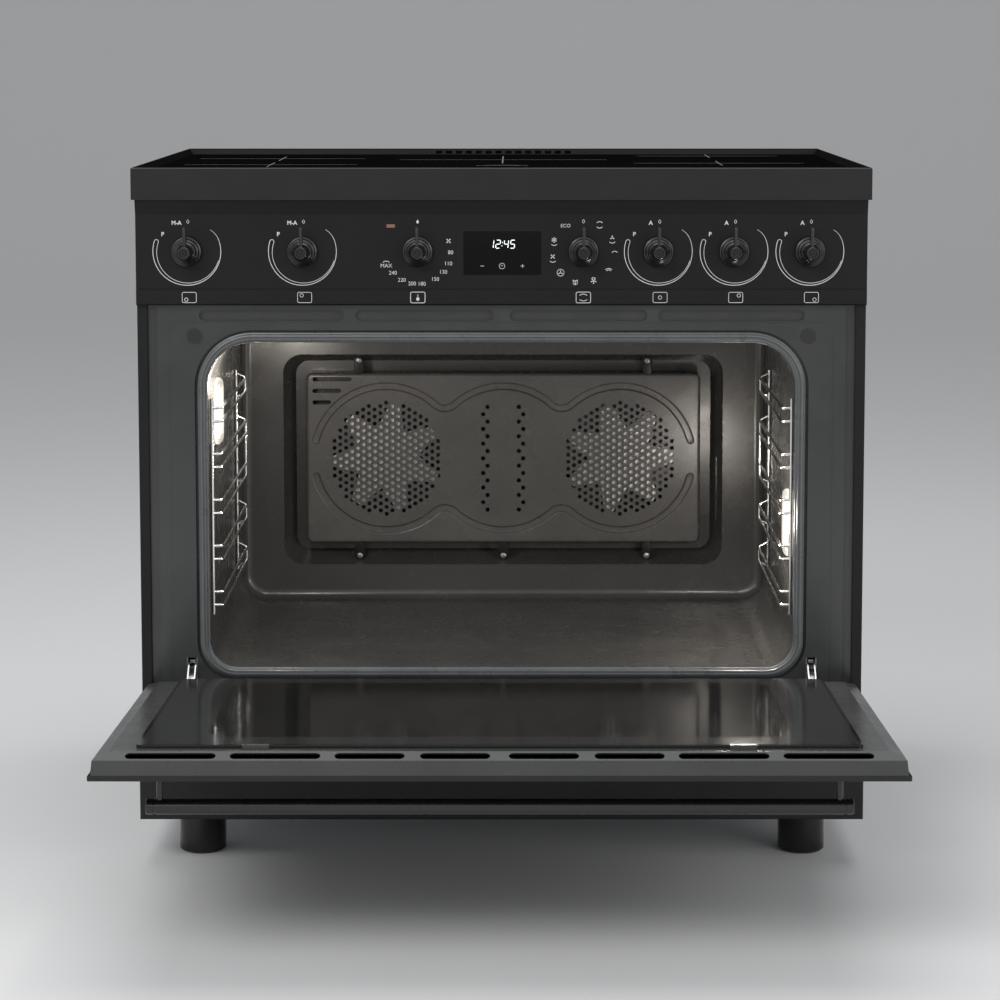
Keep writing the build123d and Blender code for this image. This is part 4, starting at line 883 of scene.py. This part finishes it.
def blades(bm, place, x, z, count, reach, turn=0.0):
    """A small fan: short blades that widen from a hub."""
    for i in range(count):
        way = math.radians(turn + 360 * i / count)
        tip = (x + reach * math.sin(way), z + reach * math.cos(way))
        stroke(bm, place, [(x, z), tip], [0.5, 1.5])


def icon_frame(bm, place, x, z, half, width):
    outline = rounded(half[0], z - half[1], z + half[1], ICON_CORNER, ICON_CORNER, x, 30)
    stroke(bm, place, outline, width, closed=True)


def hob_icon(bm, place, x, z, dot_x, dot_z):
    """A hob outline with a mark at the zone that the knob governs."""
    icon_frame(bm, place, x, z, HOB_ICON_HALF, ICON_LINE)
    stroke(bm, place, disc(x + dot_x, z + dot_z, 2.1, 16), ICON_LINE, closed=True)


def thermostat_marks(bm, place, spot):
    drop_mark(bm, place, spot.x, spot.z + DROP_RISE)
    for words, angle in TEMPERATURES.items():
        letters(bm, place, words, *round_dial(spot, TEMPERATURE_RADIUS, angle), NUMBER_SIZE)
    letters(bm, place, "MAX", *beside(spot, MAX_PLACE), MAX_SIZE)
    arch(bm, place, *beside(spot, MAX_ARCH_PLACE), 4.0)
    blades(bm, place, *beside(spot, FAN_MARK_PLACE), 4, 3.2, 45)


def mode_marks(bm, place, spot):
    """The symbols round the oven selector, clockwise from its zero."""
    def at(angle):
        return round_dial(spot, MODE_RADIUS, angle)

    zero_mark(bm, place, spot.x, spot.z + MODE_ZERO_RISE)
    u, v = at(31)
    arch(bm, place, u, v + 2.2)
    arch(bm, place, u, v - 2.6, side=-1)
    u, v = at(67)
    blades(bm, place, u, v + 1.8, 3, 2.6)
    arch(bm, place, u, v - 3.2, side=-1)
    arch(bm, place, *at(92))
    u, v = at(126)
    arch(bm, place, u, v, 4.0)
    arch(bm, place, u, v - 1.6, 2.4)
    u, v = at(161)
    blades(bm, place, u, v, 5, 3.4, 36)
    arch(bm, place, u, v + 2.4, 2.6)
    u, v = at(195)
    blades(bm, place, u, v, 3, 3.4, 60)
    stroke(bm, place, disc(u, v - 1.4, 2.6, 14), 0.6, closed=True)
    u, v = at(227)
    blades(bm, place, u, v, 3, 2.8)
    stroke(bm, place, disc(u, v, 4.2, 20), 0.7, closed=True)
    u, v = at(259)
    blades(bm, place, u, v + 1.0, 4, 3.2, 45)
    arch(bm, place, u, v - 4.4, side=-1)
    u, v = at(290)
    blades(bm, place, u, v + 1.0, 6, 3.2)
    arch(bm, place, u, v - 4.2, side=-1)
    u, v = at(325)
    letters(bm, place, "ECO", u, v, ECO_SIZE)


def add_panel_prints():
    bm = bmesh.new()
    place = upright(PANEL_FRONT - PRINT_LIFT)
    for number, words in POWER_KNOBS.items():
        spot = axis(f"knob_{number}_turn")
        power_scale(bm, place, spot.x, spot.z)
        zero_mark(bm, place, *beside(spot, ZERO_PLACE))
        shift = LONG_LABEL_PLACE if len(words) > 1 else SHORT_LABEL_PLACE
        letters(bm, place, words, *beside(spot, shift), LABEL_SIZE, LABEL_WEIGHT)
        letters(bm, place, "P", *beside(spot, BOOST_PLACE), LABEL_SIZE, LABEL_WEIGHT)
    thermostat_marks(bm, place, axis("knob_3_turn"))
    mode_marks(bm, place, axis("knob_4_turn"))
    settle_print("panel_prints", bm, "white_print", "cabinet")


def add_band_prints():
    """Icons on the trim under the knobs."""
    bm = bmesh.new()
    place = upright(BAND_FRONT - PRINT_LIFT)
    z = (low("lower_trim").z + high("lower_trim").z) / 2
    for number, mark in ZONE_MARKS.items():
        hob_icon(bm, place, axis(f"knob_{number}_turn").x + ICON_SHIFT, z, *mark)
    x = axis("knob_3_turn").x
    icon_frame(bm, place, x, z, OVEN_ICON_HALF, SYMBOL_LINE)
    drop_mark(bm, place, x, z - 1.4, 1.3)
    stroke(bm, place, [(x, z), (x, z + 3.6)], 0.9)
    x = axis("knob_4_turn").x
    icon_frame(bm, place, x, z, OVEN_ICON_HALF, SYMBOL_LINE)
    arch(bm, place, x, z + 2.6, 4.6)
    arch(bm, place, x, z - 2.6, 4.6, -1)
    settle_print("trim_prints", bm, "white_print", "cabinet")


# Clock display

# The bars that each sign lights, lettered clockwise from the top one, with the middle one last
SEGMENTS = {"1": "bc", "2": "abged", "4": "fgbc", "5": "afgcd"}
DIGIT_WIDTH = 5.0
DIGIT_HEIGHT = 9.8
DIGIT_SLANT = 0.12
DIGIT_LINE = 0.95
BAR_TRIM = 0.45
DIGIT_PLACES = {-15.7: "1", -7.7: "2", 2.2: "4", 10.0: "5"}
COLON_PLACE = -2.8
COLON_RISE = 2.0
COLON_HALF = 0.5
DISPLAY_LIFT = 0.02
DISPLAY_SHIFT = 2.6
# Heights of the digits and of the key signs, as shares of the glass's height
DIGIT_RISE = 0.68
KEY_RISE = 0.24
# Places of the key signs, across from the middle of the digits
MINUS_PLACE = -27.0
CLOCK_PLACE = -2.9
PLUS_PLACE = 22.0
SIGN_HALF = 2.2
PLUS_GAP = 0.4
CLOCK_RADIUS = 3.4
CLOCK_LINE = 0.7
HAND_LINE = 0.6


def digit(bm, place, sign, x, z):
    """A slanted digit of up to seven bars."""
    w, h = DIGIT_WIDTH / 2, DIGIT_HEIGHT / 2
    ends = {"a": ((-w, h), (w, h)), "b": ((w, h), (w, 0)), "c": ((w, 0), (w, -h)),
            "d": ((-w, -h), (w, -h)), "e": ((-w, 0), (-w, -h)), "f": ((-w, h), (-w, 0)),
            "g": ((-w, 0), (w, 0))}
    for bar in SEGMENTS[sign]:
        start, end = Vector(ends[bar][0]), Vector(ends[bar][1])
        trim = (end - start).normalized() * BAR_TRIM
        points = [start + trim, end - trim]
        stroke(bm, place, [(x + u + v * DIGIT_SLANT, z + v) for u, v in points], DIGIT_LINE)


def display_place(share):
    """The middle of the digits, across, and a height as a share of the glass's."""
    glass_low, glass_high = low("display_glass"), high("display_glass")
    x = (glass_low.x + glass_high.x) / 2 + DISPLAY_SHIFT
    return x, glass_low.z + share * (glass_high.z - glass_low.z)


def add_digits():
    """The time, with a colon between its hours and minutes."""
    bm = bmesh.new()
    place = upright(low("display_glass").y - DISPLAY_LIFT)
    x, z = display_place(DIGIT_RISE)
    for shift, sign in DIGIT_PLACES.items():
        digit(bm, place, sign, x + shift, z)
    for v in (-COLON_RISE, COLON_RISE):
        u = x + COLON_PLACE + v * DIGIT_SLANT
        stroke(bm, place, [(u, z + v - COLON_HALF), (u, z + v + COLON_HALF)], 2 * COLON_HALF)
    settle_print("display_digits", bm, "display_light", "cabinet")


def add_key_signs():
    """A minus, a clock and a plus under the digits."""
    bm = bmesh.new()
    place = upright(low("display_glass").y - DISPLAY_LIFT)
    x, z = display_place(KEY_RISE)
    minus, clock, plus = x + MINUS_PLACE, x + CLOCK_PLACE, x + PLUS_PLACE
    for middle in (minus, plus):
        stroke(bm, place, [(middle - SIGN_HALF, z), (middle + SIGN_HALF, z)], SYMBOL_LINE)
    for start, end in ((-SIGN_HALF, -PLUS_GAP), (PLUS_GAP, SIGN_HALF)):
        stroke(bm, place, [(plus, z + start), (plus, z + end)], SYMBOL_LINE)
    stroke(bm, place, disc(clock, z, CLOCK_RADIUS, 24), CLOCK_LINE, closed=True)
    stroke(bm, place, [(clock - 1.6, z + 1.2), (clock, z - 0.2), (clock + 1.2, z + 1.3)], HAND_LINE)
    settle_print("display_keys", bm, "key_light", "cabinet")


# Printed border round the window of the inner door glass

WINDOW_HALF = 322.0
WINDOW_CORNER = 34.0
BORDER_FRONT = 44.0
BORDER_BACK = 30.0
BORDER_INSET = 4.0
BORDER_LIFT = 0.08
GLASS_THICK = 4.0
DOOR_TILT = math.radians(3)


def add_window_border():
    """A band from the edge of the glass to the window, in the plane of the open door."""
    bm = bmesh.new()
    glass_low, glass_high = low("door_glass_inner"), high("door_glass_inner")
    hinge_top = glass_low.z + GLASS_THICK + BORDER_LIFT

    def place(x, y):
        return Vector((x, y, hinge_top + (glass_high.y - y) * math.tan(DOOR_TILT))) * MM

    edge = BORDER_INSET
    outer = rounded(glass_high.x - edge, glass_low.y + edge, glass_high.y - edge, edge, edge)
    inner = rounded(WINDOW_HALF, glass_low.y + BORDER_FRONT, glass_high.y - BORDER_BACK,
                    WINDOW_CORNER, WINDOW_CORNER)
    bridge(bm, add_ring(bm, place, outer), add_ring(bm, place, inner))
    settle_print("window_border", bm, "border_print", "door")


# Prints on the hob

HOB_LIFT = 0.05
HOB_LINE = 1.5
# Each zone's cross: its middle across, half its width, its depth from the hob's front, half its length
HOB_ZONES = ((-300, 112, 246, 62), (-300, 112, 433, 62), (0, 140, 400, 110),
             (284, 98, 520, 50), (284, 112, 290, 62))
# Half widths of the two arcs of the key mark
KEY_ARCS = (33, 22)
KEY_DEPTH = 215
KEY_ARC_STEPS = 12
# Radians that an arc runs to each side of straight back
KEY_ARC_REACH = 1.5
KEY_ARC_SQUASH = 0.5


def add_hob_prints():
    bm = bmesh.new()
    place = flat(GLASS_TOP + HOB_LIFT)
    line = HOB_LINE
    for x, half, depth, reach in HOB_ZONES:
        y = HOB_FRONT + depth
        stroke(bm, place, [(x - half, y), (x + half, y)], line)
        stroke(bm, place, [(x, y - reach), (x, y - line)], line)
        stroke(bm, place, [(x, y + line), (x, y + reach)], line)
    for reach in KEY_ARCS:
        arc = []
        for step in range(-KEY_ARC_STEPS, KEY_ARC_STEPS + 1):
            turn = KEY_ARC_REACH * step / KEY_ARC_STEPS
            y = HOB_FRONT + KEY_DEPTH + reach * KEY_ARC_SQUASH * math.cos(turn)
            arc.append((reach * math.sin(turn), y))
        stroke(bm, place, arc, line)
    settle_print("hob_prints", bm, "hob_print", "cabinet")


# Stage: the floor, the backdrop and the studio's lamps are in metres

BACKDROP_STEPS = 12
LAMP_INSET = 75.0
PICTURE = 1000


def add_stage():
    """A floor that curves up, well behind the object, into a plain backdrop."""
    bm = bmesh.new()
    half, near, far, curve, top = 22.0, -14.0, 7.0, 4.0, 16.0
    profile = [(near, 0.0), (far, 0.0)]
    for i in range(1, BACKDROP_STEPS + 1):
        turn = math.radians(90 * i / BACKDROP_STEPS)
        profile.append((far + curve * math.sin(turn), curve * (1 - math.cos(turn))))
    profile.append((far + curve, top))
    rows = [[bm.verts.new((x, y, z)) for x in (-half, half)] for y, z in profile]
    for a, b in zip(rows, rows[1:]):
        bm.faces.new((a[0], a[1], b[1], b[0]))
    mesh = bpy.data.meshes.new("floor")
    bm.to_mesh(mesh)
    bm.free()
    mesh.polygons.foreach_set("use_smooth", [True] * len(mesh.polygons))
    floor = bpy.data.objects.new("floor", mesh)
    bpy.context.scene.collection.objects.link(floor)
    made = new_material("floor_paint", (0.78, 0.78, 0.78), 0.7, specular=0.2)
    vary_rough(made, noise(made, 6.0), 0.65, 0.75)
    mesh.materials.append(made)


def add_world(strength, shown):
    """A plain grey studio: lights the object evenly and looks pale behind it."""
    world = bpy.data.worlds.new("studio")
    bpy.context.scene.world = world
    world.use_nodes = True
    tree = world.node_tree
    back = tree.nodes["Background"]
    back.inputs["Color"].default_value = (0.95, 0.97, 1.0, 1)
    back.inputs["Strength"].default_value = strength
    pale = tree.nodes.new("ShaderNodeBackground")
    pale.inputs["Color"].default_value = (0.93, 0.93, 0.93, 1)
    pale.inputs["Strength"].default_value = shown
    path = tree.nodes.new("ShaderNodeLightPath")
    seen = tree.nodes.new("ShaderNodeMath")
    seen.operation = "MAXIMUM"
    seen_all = tree.nodes.new("ShaderNodeMath")
    seen_all.operation = "MAXIMUM"
    tree.links.new(path.outputs["Is Camera Ray"], seen.inputs[0])
    tree.links.new(path.outputs["Is Glossy Ray"], seen.inputs[1])
    tree.links.new(seen.outputs[0], seen_all.inputs[0])
    tree.links.new(path.outputs["Is Transmission Ray"], seen_all.inputs[1])
    mix = tree.nodes.new("ShaderNodeMixShader")
    tree.links.new(seen_all.outputs[0], mix.inputs[0])
    tree.links.new(back.outputs[0], mix.inputs[1])
    tree.links.new(pale.outputs[0], mix.inputs[2])
    tree.links.new(mix.outputs[0], tree.nodes["World Output"].inputs["Surface"])


def add_area(name, place, target, size, power):
    lamp = bpy.data.lights.new(name, "AREA")
    lamp.shape = "RECTANGLE"
    lamp.size, lamp.size_y = size
    lamp.energy = power
    holder = bpy.data.objects.new(name, lamp)
    bpy.context.scene.collection.objects.link(holder)
    holder.location = place
    holder.rotation_euler = (Vector(target) - Vector(place)).to_track_quat("-Z", "Y").to_euler()


def add_oven_lamp(name, side, depth, height, power):
    """The light of an oven lamp, just inside its cover, at a depth behind the hob's front."""
    lamp = bpy.data.lights.new(name, "POINT")
    lamp.energy = power
    lamp.color = WARM
    lamp.shadow_soft_size = 0.02
    holder = bpy.data.objects.new(name, lamp)
    bpy.context.scene.collection.objects.link(holder)
    x = side * (high("cavity_liner").x - LAMP_INSET)
    holder.location = Vector((x, HOB_FRONT + depth, height)) * MM


def add_camera():
    """The photograph's viewpoint, above the hob and looking slightly down, with a modest lens shift.

    The focal length and the middle are in pixels of the square picture.
    """
    height = 1009.6
    distance = 3391.4
    side = 16.7
    pitch = 0.1025
    focal = 2802.2
    shift = 0.17
    middle_x = 515.2
    data = bpy.data.cameras.new("camera")
    camera = bpy.data.objects.new("camera", data)
    bpy.context.scene.collection.objects.link(camera)
    data.sensor_width = 36.0
    data.lens = focal * data.sensor_width / PICTURE
    data.shift_y = -shift
    data.shift_x = -(middle_x - PICTURE / 2) / PICTURE
    camera.location = Vector((side, HOB_FRONT - distance, height)) * MM
    camera.rotation_euler = (math.pi / 2 - pitch, 0, 0)
    data.clip_start, data.clip_end = 0.05, 100
    bpy.context.scene.camera = camera


add_baffle()
add_ears()
add_screws()
for knob_name in KNOBS:
    add_knob(knob_name)
add_seal()
for rack_name in ("rack_left", "rack_right"):
    add_rack(rack_name)
add_panel_prints()
add_band_prints()
add_digits()
add_key_signs()
add_window_border()
add_hob_prints()

add_stage()
add_world(strength=0.4, shown=0.93)
add_area("key", (-1.6, -2.6, 2.7), target=(0, -0.2, 0.5), size=(2.2, 1.4), power=60)
add_area("fill", (2.4, -2.2, 1.4), target=(0, 0, 0.4), size=(2.0, 2.0), power=25)
add_area("top", (0, 0.3, 3.2), target=(0, 0, 0.5), size=(3.0, 2.0), power=40)
add_oven_lamp("lamp_left", side=-1, depth=110, height=586, power=1.6)
add_oven_lamp("lamp_right", side=1, depth=75, height=411, power=1.6)
add_camera()

bpy.context.scene.view_settings.view_transform = "Standard"
